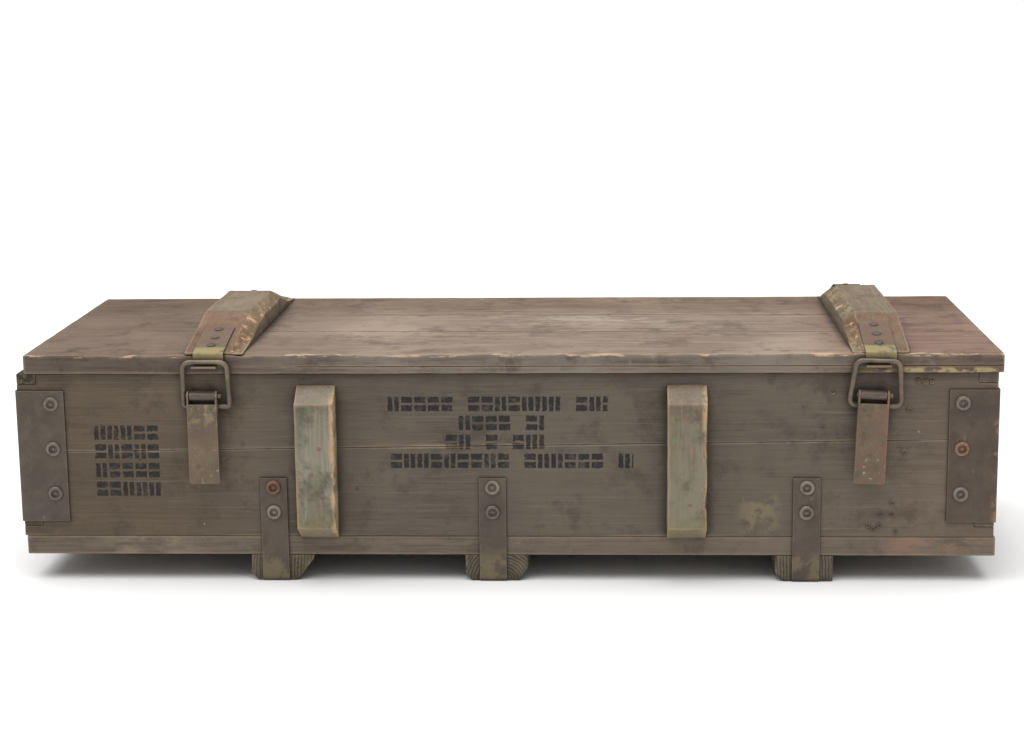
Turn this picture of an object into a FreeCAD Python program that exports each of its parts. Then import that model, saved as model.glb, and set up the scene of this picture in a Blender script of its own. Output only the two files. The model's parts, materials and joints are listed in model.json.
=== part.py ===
# Shipping crate: a long, low, painted wooden box with a hinged lid and two lever latches.
# Frame: origin at the centre of the footprint, on the ground; +X along the length, to the right
# of someone facing the latches; +Y to the back, where the hinges are; +Z up. Millimetres.
import FreeCAD, Part
import math
import os

os.makedirs("parts", exist_ok=True)
V = FreeCAD.Vector

# ---- Box -------------------------------------------------------------------------------------
box_length = 1005.0
box_depth = 350.0
wall_height = 172.5
side_wall_t = 20.0
end_wall_t = 20.0
floor_t = 20.0
floor_board_count = 3
floor_shift = 2.0            # the floor boards sit this far to the right
finger_count = 16            # even: the side walls have the lowest finger, the end walls the highest
finger_fit = 0.15            # gap on every face of a finger
front_seam_height = 96.5     # middle of the seam between the two front planks, over the floor
front_seam_rise = 13.4       # the seam climbs this much from left to right
back_seam_height = 92.0
back_seam_rise = -6.0
end_seam_height = 86.2

# ---- Skids and their straps ------------------------------------------------------------------
skid_height = 28.0
skid_insets = {"left": 271.0, "right": 192.5}       # from the box's ends
skid_middle_place = -7.8
skid_widths = {"left": 66.0, "middle": 65.0, "right": 59.0}
strap_offsets = {"left": -7.0, "middle": -3.5, "right": 1.5}        # to the right of the skid's middle
strap_width = 28.0
strap_t = 2.0
strap_height = 62.5          # how far the strap climbs the wall, over the floor
strap_groove_fit = 0.6
strap_bend_radius = 1.8
strap_sunk = 0.9             # the strap's underside stays this far above the ground
strap_fastener_steps = (10.0, 36.5)                 # down from the strap's end
# Bevels on the long lower edges: run and rise of the left one, then of the right one
skid_bevels = {
    "left": (7.0, 8.0, 17.0, 24.0),
    "middle": (7.0, 8.0, 9.0, 14.0),
    "right": (8.0, 9.0, 0.0, 0.0),
}

# ---- Corner plates ---------------------------------------------------------------------------
plate_leg = 50.9
plate_t = 2.0
plate_foot = 16.0            # lower edge over the floor
plate_top_gap = 17.5         # upper edge below the top of the wall
plate_bend_radius = 3.0
plate_fastener_inset = 37.3  # from the plate's corner
plate_fastener_foot = 29.8   # lowest fastener over the plate's lower edge
plate_fastener_top = 14.0    # highest fastener below its upper edge
plate_fastener_rows = 3

# ---- Side battens, with cradle boards inside at the same places ------------------------------
batten_insets = {"left": 311.3, "right": 314.1}     # from the box's ends
batten_width = 40.0
batten_t = 25.3
batten_drop = 1.7            # how far its foot hangs below the top of the floor boards
batten_top_gap = 11.5        # its top below the top of the wall
batten_bevel_height = 16.0
batten_nail_steps = ((-3.0, 0.25), (4.0, 0.45), (-5.0, 0.62), (3.0, 0.82))     # aside, share of its height
cradle_t = 20.0
cradle_fit = 0.5             # gap to the walls
cradle_horn = 28.0           # from the wall to a half-round seat
cradle_cusp = 10.0           # wood left between the two seats
cradle_web = 24.0            # wood left under a seat

# ---- Lid -------------------------------------------------------------------------------------
lid_end_inset = 2.5          # how much shorter than the box it is, at each end
lid_overhang = 5.0           # past the front and back walls
lid_t = 20.0
lid_gap = 0.5
lid_shift = 6.7              # the lid sits this far to the right of the box
lid_seam_insets = (131.6, 122.8)     # front seam from the front edge, back seam from the back edge
lid_seam_slopes = (-0.0159, -0.019)
lid_corner_radius = 4.0

# ---- Lid battens, sloped at both ends --------------------------------------------------------
lid_batten_offsets = {"left": 12.2, "right": 7.3}   # to the right of the latch
lid_batten_widths = {"left": 60.0, "right": 57.0}
lid_batten_slopes = {"left": (119.5, 101.5), "right": (93.5, 75.5)}         # front and back slope
lid_batten_bevels = {"left": "right", "right": "left"}       # which upper long edge is taken off
lid_batten_t = 26.0
lid_batten_setback = 2.5     # its nose from the lid's edge
lid_batten_nose = 1.5
lid_batten_bevel = 5.0
lid_nail_shares = (0.12, 0.5, 0.88)  # along the flat top
lid_nail_inset = 15.0                # from the long edges

# ---- End handles: cleats with a finger groove ------------------------------------------------
handle_plate_gap = 51.1      # from its ends to the corner plates
handle_height = 45.0
handle_t = 20.0
handle_foot = 84.0           # over the floor
handle_bevel = 4.0
handle_screw_inset = 22.0    # from its ends
groove_depth = 12.0
groove_height = 22.0

# ---- Latches ---------------------------------------------------------------------------------
latch_insets = {"left": 194.8, "right": 126.3}      # knuckle centres, from the box's ends
latch_tilts = {"left": 0.0, "right": 2.1}           # degrees, foot of the lever to the left
knuckle_radius = 4.4
knuckle_width = 26.0
knuckle_drop = 21.9          # knuckle centre below the top of the wall
knuckle_standoff = 8.0       # knuckle centre in front of the wall
latch_plate_t = 1.6
latch_plate_height = 38.0
latch_screw_spacing = 15.0
latch_screw_foot = 7.0       # over the plate's lower edge
pin_radius = 2.4
pin_fit = 0.06
pin_ends = (16.6, 19.0)      # left and right of the knuckle centre
knuckle_bore_fit = 0.03
lever_width = 31.3
lever_length = 91.0          # from the pin to the foot
lever_face_t = 1.6
lever_cheek_t = 2.0
lever_face_front = 5.5       # the face's outside in front of the pin
lever_face_top = 7.8         # the face's top edge below the pin
lever_cheek_length = 62.0    # the cheeks fade out this far below the pin
lever_ear_radius = 5.4
lever_foot_radius = 3.0
bail_wire_radius = 2.5
bail_fit = 0.08
bail_pivot_drop = 11.2       # bail's lower bar below the pin
bail_pivot_back = 2.2        # and behind it, so that the closed latch is over centre
bail_bar_over_lid = 13.5     # bail's upper bar over the lid's underside
bail_bar_front = 6.0         # and in front of the lid's edge
bail_inner_low = {"left": 21.2, "right": 23.9}      # half the ring's clear width, at the lower bar
bail_inner_high = {"left": 20.4, "right": 19.3}     # and at the upper bar
bail_offsets = {"left": 4.0, "right": 2.5}          # to the right of the knuckle centre
bail_low_bend = {"left": 0.7, "right": 4.0}         # inside radius of the ring's corners
bail_high_bend = {"left": 5.5, "right": 5.0}

# ---- Hook straps on the lid ------------------------------------------------------------------
hook_offsets = {"left": -5.0, "right": -0.4}        # to the right of the lid batten's middle
hook_width = 31.0
hook_t = 2.0
hook_reach = 70.0            # up the batten's slope, seen from above
hook_ledge = 11.5            # how far the ledge stands out from the lid's edge
hook_ledge_gap = 1.4         # between the ledge and the bail's bar
hook_ledge_width = 25.0      # centred on the bail's bar
hook_bend_radius = 2.6
hook_tip_radius = 0.9
hook_screw_steps = (19.0, 40.0, 62.0)               # in from the lid's edge

# ---- Hinges ----------------------------------------------------------------------------------
hinge_offsets = {"left": -8.5, "right": -2.9}       # to the right of the lid batten's middle
hinge_width = 31.0
hinge_leaf_t = 2.0
hinge_knuckle_radius = 4.8
hinge_pin_back = 6.0         # pin behind the lid's back edge
hinge_middle_width = 12.0
hinge_side_gap = 0.4
hinge_leaf_height = 52.0
hinge_leaf_reach = 70.0
hinge_pin_overhang = 1.5
hinge_screw_heights = (8.0, 22.0, 36.0)              # over the box leaf's lower edge

# ---- Fasteners -------------------------------------------------------------------------------
hole_fit = 0.15
rivet_radius = 8.0
rivet_dish_radius = 4.4
rivet_head = 2.6
rivet_dish = 1.5
rivet_shank = 3.0
rivet_length = 15.0
screw_radius = 4.5
screw_head = 1.8
screw_shank = 2.0
screw_length = 12.0
handle_screw_length = 36.0
nail_radius = 2.8
nail_head = 0.6
nail_shank = 1.4
nail_length = 40.0
leaf_screw_length = 12.0

# ---- Levels, faces and places worked out from the sizes --------------------------------------
SIDES = {"front": -1, "back": 1}
ENDS = {"left": -1, "right": 1}
floor_low = skid_height
floor_top = skid_height + floor_t
wall_top = floor_top + wall_height
lid_low = wall_top + lid_gap
lid_top = lid_low + lid_t
half_length = box_length / 2
half_depth = box_depth / 2
lid_length = box_length - 2 * lid_end_inset
half_lid = half_depth + lid_overhang


def from_ends(insets):
    """Places along X that keep their distances from the box's ends."""
    return {end: ENDS[end] * (half_length - inset) for end, inset in insets.items()}


def beside(places, offsets):
    """Places a little to the right of others."""
    return {name: places[name] + offset for name, offset in offsets.items()}


skid_places = {"middle": skid_middle_place, **from_ends(skid_insets)}
strap_places = beside(skid_places, strap_offsets)
batten_places = from_ends(batten_insets)
latch_places = from_ends(latch_insets)
lid_batten_places = beside(latch_places, lid_batten_offsets)
hook_places = beside(lid_batten_places, hook_offsets)
hinge_places = beside(lid_batten_places, hinge_offsets)

plate_height = wall_height - plate_foot - plate_top_gap
plate_fastener_pitch = (plate_height - plate_fastener_foot - plate_fastener_top) / (plate_fastener_rows - 1)
batten_height = wall_height + batten_drop - batten_top_gap
inner_depth = box_depth - 2 * side_wall_t
seat_radius = (inner_depth - 2 * cradle_horn - cradle_cusp) / 4
seat_y = seat_radius + cradle_cusp / 2
cradle_height = seat_radius + cradle_web
handle_length = box_depth - 2 * (plate_leg - plate_t + handle_plate_gap)


# ---- Helpers ---------------------------------------------------------------------------------
def block(x0, x1, y0, y1, z0, z1):
    """A box between two corners, given in any order."""
    low = V(min(x0, x1), min(y0, y1), min(z0, z1))
    high = V(max(x0, x1), max(y0, y1), max(z0, z1))
    return Part.makeBox(high.x - low.x, high.y - low.y, high.z - low.z, low)


def prism_x(outline, x0, x1):
    """An outline of (y, z) points, extruded from x0 to x1."""
    points = [V(x0, y, z) for y, z in outline]
    face = Part.Face(Part.makePolygon(points + points[:1]))
    return face.extrude(V(x1 - x0, 0, 0))


def prism_z(outline, z0, z1):
    """An outline of (x, y) points, extruded from z0 to z1."""
    points = [V(x, y, z0) for x, y in outline]
    face = Part.Face(Part.makePolygon(points + points[:1]))
    return face.extrude(V(0, 0, z1 - z0))


def rod_x(radius, x0, x1, y, z):
    return Part.makeCylinder(radius, x1 - x0, V(x0, y, z), V(1, 0, 0))


def fuse(shapes):
    solid = shapes[0].multiFuse(shapes[1:])
    return solid.removeSplitter()


def is_edge_x(edge, y, z):
    """True for a straight edge along X at (y, z)."""
    ends = [vertex.Point for vertex in edge.Vertexes]
    return len(ends) == 2 and all(abs(p.y - y) < 0.01 and abs(p.z - z) < 0.01 for p in ends)


def round_edges_x(shape, radius, places):
    edges = [edge for edge in shape.Edges if any(is_edge_x(edge, y, z) for y, z in places)]
    return shape.makeFillet(radius, edges)


def save(shape, name):
    shape.exportStep("parts/" + name + ".step")


# ---- Fasteners: each is a solid and the hole that its shank needs ----------------------------
def turned(outline, place, into):
    """An outline of (radius, height) points, spun about the line through place along into."""
    points = [V(radius, 0, height) for radius, height in outline]
    face = Part.Face(Part.makePolygon(points + points[:1]))
    solid = face.revolve(V(0, 0, 0), V(0, 0, 1), 360)
    solid.Placement = FreeCAD.Placement(place, FreeCAD.Rotation(V(0, 0, -1), into))
    return solid


def drill(place, into, radius, length):
    return Part.makeCylinder(radius + hole_fit, length + hole_fit, place, into)


def rivet(place, into):
    """A domed ring of a head with a dished middle, on a short shank."""
    outline = [(0, -rivet_length), (rivet_shank, -rivet_length), (rivet_shank, 0), (rivet_radius, 0),
               (rivet_radius, 0.35 * rivet_head), (0.86 * rivet_radius, 0.8 * rivet_head),
               (0.7 * rivet_radius, rivet_head), (rivet_dish_radius, rivet_head),
               (0.8 * rivet_dish_radius, rivet_head - rivet_dish), (0, rivet_head - rivet_dish)]
    return turned(outline, place, into), drill(place, into, rivet_shank, rivet_length)


def screw(place, into, length):
    """A low round head with a countersunk-looking rim."""
    outline = [(0, -length), (screw_shank, -length), (screw_shank, 0), (screw_radius, 0),
               (screw_radius, 0.4 * screw_head), (0.7 * screw_radius, screw_head), (0, screw_head)]
    return turned(outline, place, into), drill(place, into, screw_shank, length)


def nail(place, into):
    """Driven until its flat head is flush."""
    outline = [(0, -nail_length), (nail_shank, -nail_length), (nail_shank, -nail_head),
               (nail_radius, -nail_head), (nail_radius, 0), (0, 0)]
    seat = Part.makeCylinder(nail_radius + hole_fit, nail_head, place, into)
    return turned(outline, place, into), drill(place, into, nail_shank, nail_length).fuse(seat)


def drilled(shape, fasteners):
    """The shape, with a hole for each fastener that reaches it."""
    holes = [hole for solid, hole in fasteners if hole.BoundBox.intersect(shape.BoundBox)]
    return shape.cut(holes) if holes else shape


# ---- Walls -----------------------------------------------------------------------------------
finger_height = wall_height / finger_count


def finger_levels(index):
    """Lower and upper level of one finger, with its fit taken off where another finger meets it."""
    low = floor_top + index * finger_height
    high = low + finger_height
    return low + (finger_fit if index > 0 else 0), high - (finger_fit if index < finger_count - 1 else 0)


def side_wall(side):
    """Front (-1) or back (1) wall, with the lowest finger of both corners and every other one."""
    outer = side * half_depth
    inner = side * (half_depth - side_wall_t)
    core = half_length - end_wall_t - finger_fit
    pieces = [block(-core, core, outer, inner, floor_top, wall_top)]
    for index in range(0, finger_count, 2):
        low, high = finger_levels(index)
        pieces.append(block(-half_length, half_length, outer, inner, low, high))
    return fuse(pieces)


def end_wall(end):
    """Left (-1) or right (1) wall, with the highest finger of both corners and every other one."""
    outer = end * half_length
    inner = end * (half_length - end_wall_t)
    core = half_depth - side_wall_t - finger_fit
    pieces = [block(outer, inner, -core, core, floor_top, wall_top)]
    for index in range(1, finger_count, 2):
        low, high = finger_levels(index)
        pieces.append(block(outer, inner, -half_depth, half_depth, low, high))
    return fuse(pieces)


def below_seam(height, rise):
    """Everything below a seam that climbs from the left end to the right end."""
    left = floor_top + height - rise / 2
    right = floor_top + height + rise / 2
    lower = [(-half_length, floor_low), (half_length, floor_low)]
    upper = [(half_length, right), (-half_length, left)]
    points = [V(x, -box_depth, z) for x, z in lower + upper]
    face = Part.Face(Part.makePolygon(points + points[:1]))
    return face.extrude(V(0, 2 * box_depth, 0))


def split(wall, height, rise):
    """The lower and upper plank of a wall."""
    below = below_seam(height, rise)
    return {"lower": wall.common(below), "upper": wall.cut(below)}


# ---- Floor, skids and straps -----------------------------------------------------------------
def floor_board(index):
    width = box_depth / floor_board_count
    y0 = -half_depth + index * width
    return block(floor_shift - half_length, floor_shift + half_length, y0, y0 + width, floor_low, floor_top)


def skid(name):
    """A bearer across the crate, bevelled below, with a groove for its strap."""
    x = skid_places[name]
    half = skid_widths[name] / 2
    left_run, left_rise, right_run, right_rise = skid_bevels[name]
    left = x - half
    right = x + half
    outline = [(left, skid_height), (left, left_rise), (left + left_run, 0), (right - right_run, 0)]
    if right_run > 0:
        outline.append((right, right_rise))
    outline.append((right, skid_height))
    points = [V(px, -half_depth, pz) for px, pz in outline]
    solid = Part.Face(Part.makePolygon(points + points[:1])).extrude(V(0, box_depth, 0))
    groove_half = strap_width / 2 + strap_groove_fit
    groove_low = strap_places[name] - groove_half
    groove_high = strap_places[name] + groove_half
    groove_top = strap_sunk + strap_t + hole_fit
    groove = block(groove_low, groove_high, -half_depth, half_depth, 0, groove_top)
    return solid.cut(groove)


def skid_strap(name):
    """A flat steel band down the front wall, under the skid and up the back wall."""
    x0 = strap_places[name] - strap_width / 2
    x1 = strap_places[name] + strap_width / 2
    top = floor_top + strap_height
    outer = half_depth + strap_t
    band = block(x0, x1, -outer, outer, strap_sunk, top)
    inside = block(x0, x1, -half_depth, half_depth, strap_sunk + strap_t, top)
    band = band.cut(inside)
    return round_edges_x(band, strap_bend_radius, [(-outer, strap_sunk), (outer, strap_sunk)])


def strap_fasteners():
    pairs = []
    for name in strap_places:
        for side in SIDES.values():
            for step in strap_fastener_steps:
                z = floor_top + strap_height - step
                pairs.append(rivet(V(strap_places[name], side * (half_depth + strap_t), z), V(0, -side, 0)))
    return pairs


# ---- Corner plates ---------------------------------------------------------------------------
def corner_plate(end, side):
    """A steel angle round one vertical corner."""
    outer_x = end * (half_length + plate_t)
    outer_y = side * (half_depth + plate_t)
    z0 = floor_top + plate_foot
    z1 = z0 + plate_height
    along_side = block(outer_x, outer_x - end * plate_leg, outer_y, outer_y - side * plate_t, z0, z1)
    along_end = block(outer_x, outer_x - end * plate_t, outer_y, outer_y - side * plate_leg, z0, z1)
    angle = fuse([along_side, along_end])
    edges = [edge for edge in angle.Edges if all(
        abs(v.Point.x - outer_x) < 0.01 and abs(v.Point.y - outer_y) < 0.01 for v in edge.Vertexes)]
    return angle.makeFillet(plate_bend_radius, edges)


def plate_fasteners():
    pairs = []
    for end in ENDS.values():
        for side in SIDES.values():
            outer_x = end * (half_length + plate_t)
            outer_y = side * (half_depth + plate_t)
            for row in range(plate_fastener_rows):
                z = floor_top + plate_foot + plate_fastener_foot + row * plate_fastener_pitch
                pairs.append(rivet(V(outer_x - end * plate_fastener_inset, outer_y, z), V(0, -side, 0)))
                pairs.append(rivet(V(outer_x, outer_y - side * plate_fastener_inset, z), V(-end, 0, 0)))
    return pairs


# ---- Side battens and cradles ----------------------------------------------------------------
def side_batten(name, side):
    """An upright batten, bevelled over its whole thickness at both ends."""
    x = batten_places[name]
    wall = side * half_depth
    face = side * (half_depth + batten_t)
    z0 = floor_top - batten_drop
    z1 = z0 + batten_height
    outline = [(wall, z0), (wall, z1), (face, z1 - batten_bevel_height), (face, z0 + batten_bevel_height)]
    return prism_x(outline, x - batten_width / 2, x + batten_width / 2)


def side_batten_nails():
    """Four nails to a batten, driven a little out of line."""
    pairs = []
    for x in batten_places.values():
        for side in SIDES.values():
            for offset, share in batten_nail_steps:
                z = floor_top - batten_drop + share * batten_height
                place = V(x + side * offset, side * (half_depth + batten_t), z)
                pairs.append(nail(place, V(0, -side, 0)))
    return pairs


def cradle(name):
    """A board across the inside with two half-round seats."""
    x = batten_places[name]
    half = inner_depth / 2 - cradle_fit
    top = floor_top + cradle_height
    board = block(x - cradle_t / 2, x + cradle_t / 2, -half, half, floor_top, top)
    seats = [rod_x(seat_radius, x - cradle_t, x + cradle_t, side * seat_y, top) for side in SIDES.values()]
    return board.cut(seats)


# ---- End handles -----------------------------------------------------------------------------
def end_handle(end):
    """A cleat across the end wall, grooved from below for the fingers."""
    wall = end * half_length
    face = end * (half_length + handle_t)
    z0 = floor_top + handle_foot
    half = handle_length / 2
    cleat = block(wall, face, -half, half, z0, z0 + handle_height)
    outer = [edge for edge in cleat.Edges if all(abs(v.Point.x - face) < 0.01 for v in edge.Vertexes)]
    cleat = cleat.makeChamfer(handle_bevel, outer)
    groove = block(wall, wall + end * groove_depth, -half, half, z0, z0 + groove_height)
    return cleat.cut(groove)


def handle_screws():
    pairs = []
    z = floor_top + handle_foot + (groove_height + handle_height) / 2
    for end in ENDS.values():
        for step in (-1, 0, 1):
            place = V(end * (half_length + handle_t), step * (handle_length / 2 - handle_screw_inset), z)
            pairs.append(screw(place, V(-end, 0, 0), handle_screw_length))
    return pairs


# ---- Lid planks and battens ------------------------------------------------------------------
def lid_plank(index):
    """One of three planks; the seams between them run a little aslant."""
    seam_places = (-half_lid + lid_seam_insets[0], half_lid - lid_seam_insets[1])

    def seam(number, x):
        return seam_places[number] + lid_seam_slopes[number] * x

    x0 = lid_shift - lid_length / 2
    x1 = lid_shift + lid_length / 2
    front = (-half_lid, -half_lid) if index == 0 else (seam(index - 1, x0), seam(index - 1, x1))
    back = (half_lid, half_lid) if index == 2 else (seam(index, x0), seam(index, x1))
    plank = prism_z([(x0, front[0]), (x1, front[1]), (x1, back[1]), (x0, back[0])], lid_low, lid_top)
    edge_y = {0: -half_lid, 1: None, 2: half_lid}[index]
    if edge_y is None:
        return plank
    corners = [edge for edge in plank.Edges if edge.Length < lid_t + 0.01
               and all(abs(v.Point.y - edge_y) < 0.01 for v in edge.Vertexes)]
    return plank.makeFillet(lid_corner_radius, corners)


def lid_batten_flat(name):
    """Front and back end of a lid batten's flat top."""
    nose = half_lid - lid_batten_setback
    front_slope, back_slope = lid_batten_slopes[name]
    return front_slope - nose, nose - back_slope


def lid_batten_outline(name):
    front_flat, back_flat = lid_batten_flat(name)
    nose = half_lid - lid_batten_setback
    nose_z = lid_top + lid_batten_nose
    top = lid_top + lid_batten_t
    front = [(-nose, lid_top), (-nose, nose_z), (front_flat, top)]
    back = [(back_flat, top), (nose, nose_z), (nose, lid_top)]
    return front + back


def lid_batten(name):
    """A batten across the lid, sloping down to both edges, with one upper long edge taken off."""
    x = lid_batten_places[name]
    half = lid_batten_widths[name] / 2
    solid = prism_x(lid_batten_outline(name), x - half, x + half)
    top = lid_top + lid_batten_t
    bevelled_x = x + half * ENDS[lid_batten_bevels[name]]
    edges = [edge for edge in solid.Edges if all(
        abs(v.Point.z - top) < 0.01 and abs(v.Point.x - bevelled_x) < 0.01 for v in edge.Vertexes)]
    return solid.makeChamfer(lid_batten_bevel, edges)


def lid_batten_nails():
    pairs = []
    for name, x in lid_batten_places.items():
        front_flat, back_flat = lid_batten_flat(name)
        aside = lid_batten_widths[name] / 2 - lid_nail_inset
        for share in lid_nail_shares:
            y = front_flat + share * (back_flat - front_flat)
            for offset in (-aside, aside):
                pairs.append(nail(V(x + offset, y, lid_top + lid_batten_t), V(0, 0, -1)))
    return pairs


def slope_of(name, side):
    """Level on a lid batten's slope at the distance in from the lid's edge, and the slope itself."""
    front_slope, back_slope = lid_batten_slopes[name]
    rate = (lid_batten_t - lid_batten_nose) / (front_slope if side < 0 else back_slope)

    def level(inset):
        return lid_top + lid_batten_nose + rate * (inset - lid_batten_setback)
    return level, rate


def slope_normal(name, side):
    level, rate = slope_of(name, side)
    length = math.hypot(1, rate)
    return V(0, side * rate / length, 1 / length)


def slope_band(name, side, thickness, reach, foot):
    """Outline of a steel band that lies on a batten's slope and turns down the lid's edge."""
    level, rate = slope_of(name, side)
    lift = thickness * math.hypot(1, rate)
    edge = side * half_lid
    outer = side * (half_lid + thickness)
    inner_end = side * (half_lid - reach)
    return [(edge, foot), (edge, level(0)), (inner_end, level(reach)), (inner_end, level(reach) + lift),
            (outer, level(-thickness) + lift), (outer, foot)]


def band_screws(name, x, side, thickness, steps, length):
    pairs = []
    level, rate = slope_of(name, side)
    normal = slope_normal(name, side)
    for step in steps:
        surface = V(x, side * (half_lid - step), level(step))
        pairs.append(screw(surface + normal * thickness, normal * -1, length))
    return pairs


# ---- Latches ---------------------------------------------------------------------------------
knuckle_y = -(half_depth + knuckle_standoff)
knuckle_z = wall_top - knuckle_drop
bail_pivot_y = knuckle_y + bail_pivot_back
bail_pivot_z = knuckle_z - bail_pivot_drop
bail_bar_y = -(half_lid + bail_bar_front)
bail_bar_z = lid_low + bail_bar_over_lid
ledge_top = bail_bar_z - bail_wire_radius - hook_ledge_gap


def tilted(shape, name):
    """A latch piece, turned a little on the wall about its knuckle's centre."""
    centre = V(latch_places[name], knuckle_y, knuckle_z)
    turned_shape = shape.copy()
    turned_shape.rotate(centre, V(0, 1, 0), latch_tilts[name])
    return turned_shape


def bail_bar_place(name):
    """Middle of the bail's upper bar along the crate."""
    lean = math.tan(math.radians(latch_tilts[name]))
    return latch_places[name] + bail_offsets[name] + lean * (bail_bar_z - knuckle_z)


def latch_base(name):
    """A plate on the wall whose upper edge is rolled into a knuckle."""
    x0 = latch_places[name] - knuckle_width / 2
    x1 = latch_places[name] + knuckle_width / 2
    wall = -half_depth
    top = knuckle_z + knuckle_radius
    plate = block(x0, x1, wall, wall - latch_plate_t, top - latch_plate_height, top)
    web = block(x0, x1, wall, knuckle_y, top - latch_plate_t, top)
    roll = rod_x(knuckle_radius, x0, x1, knuckle_y, knuckle_z)
    bore = rod_x(pin_radius + knuckle_bore_fit, x0 - 1, x1 + 1, knuckle_y, knuckle_z)
    return tilted(fuse([plate, web, roll]).cut(bore), name)


def latch_pin(name):
    x = latch_places[name]
    return tilted(rod_x(pin_radius, x - pin_ends[0], x + pin_ends[1], knuckle_y, knuckle_z), name)


def latch_screws():
    pairs = []
    for name, x in latch_places.items():
        for offset in (-latch_screw_spacing / 2, latch_screw_spacing / 2):
            z = knuckle_z + knuckle_radius - latch_plate_height + latch_screw_foot
            place = V(x + offset, -(half_depth + latch_plate_t), z)
            solid, hole = screw(place, V(0, 1, 0), screw_length)
            pairs.append((tilted(solid, name), tilted(hole, name)))
    return pairs


def latch_lever(name):
    """A long flat lever with two cheeks that carry the pin and the bail."""
    x0 = latch_places[name] - lever_width / 2
    x1 = latch_places[name] + lever_width / 2
    front = knuckle_y - lever_face_front
    foot = knuckle_z - lever_length
    face_top = knuckle_z - lever_face_top
    face = block(x0, x1, front, front + lever_face_t, foot, face_top)
    fade = knuckle_z - lever_cheek_length
    back = bail_pivot_y + bail_wire_radius
    outline = [(front, fade), (front + lever_face_t, fade), (back, bail_pivot_z - bail_wire_radius),
               (knuckle_y + lever_ear_radius, knuckle_z), (knuckle_y - lever_ear_radius, knuckle_z),
               (front, face_top)]
    pieces = [face]
    for start in (x0, x1 - lever_cheek_t):
        pieces.append(prism_x(outline, start, start + lever_cheek_t))
        pieces.append(rod_x(lever_ear_radius, start, start + lever_cheek_t, knuckle_y, knuckle_z))
    lever = fuse(pieces)
    pin_hole = rod_x(pin_radius + pin_fit, x0 - 1, x1 + 1, knuckle_y, knuckle_z)
    bail_hole = rod_x(bail_wire_radius + bail_fit, x0 - 1, x1 + 1, bail_pivot_y, bail_pivot_z)
    lever = lever.cut([pin_hole, bail_hole])
    corners = [edge for edge in lever.Edges if abs(edge.Length - lever_face_t) < 0.01
               and all(abs(v.Point.z - foot) < 0.01 for v in edge.Vertexes)]
    return tilted(lever.makeFillet(lever_foot_radius, corners), name)


def rounded_ring(corners, radii, wire_radius):
    """A closed ring of round wire along straight runs, with an arc at each corner."""
    count = len(corners)
    arcs = []
    for index in range(count):
        here = corners[index]
        to_last = (corners[index - 1] - here).normalize()
        to_next = (corners[(index + 1) % count] - here).normalize()
        half_turn = to_last.getAngle(to_next) / 2
        reach = radii[index] / math.tan(half_turn)
        middle = (to_last + to_next).normalize()
        centre = here + middle * (radii[index] / math.sin(half_turn))
        arcs.append((here + to_last * reach, here + to_next * reach, centre, to_last, to_next))
    pieces = []
    for index in range(count):
        start, end, centre, to_last, to_next = arcs[index]
        axis = to_next.cross(to_last).normalize()
        turn = 180.0 - math.degrees(to_last.getAngle(to_next))
        section = Part.Face(Part.Wire(Part.makeCircle(wire_radius, start, to_last)))
        bend = section.revolve(centre, axis, turn)
        pieces.append(bend)
        following = arcs[(index + 1) % count][0]
        run = following - end
        pieces.append(Part.makeCylinder(wire_radius, run.Length, end, run))
    return fuse(pieces)


def latch_bail(name):
    """A wire ring: its lower bar turns in the lever's cheeks, its upper bar holds the hook's ledge."""
    x = latch_places[name] + bail_offsets[name]
    low = bail_inner_low[name] + bail_wire_radius
    high = bail_inner_high[name] + bail_wire_radius
    corners = [V(x - low, bail_pivot_y, bail_pivot_z), V(x + low, bail_pivot_y, bail_pivot_z),
               V(x + high, bail_bar_y, bail_bar_z), V(x - high, bail_bar_y, bail_bar_z)]
    bends = [bail_low_bend[name]] * 2 + [bail_high_bend[name]] * 2
    radii = [bend + bail_wire_radius for bend in bends]
    return tilted(rounded_ring(corners, radii, bail_wire_radius), name)


def lid_hook(name):
    """A steel band down the batten's slope and the lid's edge, turned out into a ledge."""
    x0 = hook_places[name] - hook_width / 2
    x1 = hook_places[name] + hook_width / 2
    foot = ledge_top - hook_t
    outline = slope_band(name, -1, hook_t, hook_reach, foot)
    band = prism_x(outline, x0, x1)
    band = round_edges_x(band, hook_bend_radius, [outline[4]])
    middle = bail_bar_place(name)
    ledge = block(middle - hook_ledge_width / 2, middle + hook_ledge_width / 2,
                  -half_lid, -(half_lid + hook_ledge), foot, ledge_top)
    hook = fuse([band, ledge])
    tip = -(half_lid + hook_ledge)
    return round_edges_x(hook, hook_tip_radius, [(tip, foot), (tip, ledge_top)])


def hook_screws():
    pairs = []
    for name, x in hook_places.items():
        pairs += band_screws(name, x, -1, hook_t, hook_screw_steps, screw_length)
    return pairs


# ---- Hinges ----------------------------------------------------------------------------------
pin_y = half_lid + hinge_pin_back
pin_z = lid_low


def hinge_tube(x0, x1):
    return rod_x(hinge_knuckle_radius, x0, x1, pin_y, pin_z)


def hinge_bore(x0, x1, fit):
    return rod_x(pin_radius + fit, x0 - 1, x1 + 1, pin_y, pin_z)


def hinge_lid_leaf(name):
    """The leaf on the lid: up the batten's back slope, with the middle knuckle."""
    x0 = hinge_places[name] - hinge_width / 2
    x1 = hinge_places[name] + hinge_width / 2
    middle = hinge_places[name]
    web_top = pin_z + hinge_knuckle_radius
    web_foot = web_top - hinge_leaf_t
    outline = slope_band(name, 1, hinge_leaf_t, hinge_leaf_reach, web_top)
    band = round_edges_x(prism_x(outline, x0, x1), hook_bend_radius, [outline[4]])
    half = hinge_middle_width / 2
    web = block(middle - half, middle + half, half_lid, pin_y, web_foot, web_top)
    leaf = fuse([band, web, hinge_tube(middle - half, middle + half)])
    return leaf.cut(hinge_bore(x0, x1, pin_fit))


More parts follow.
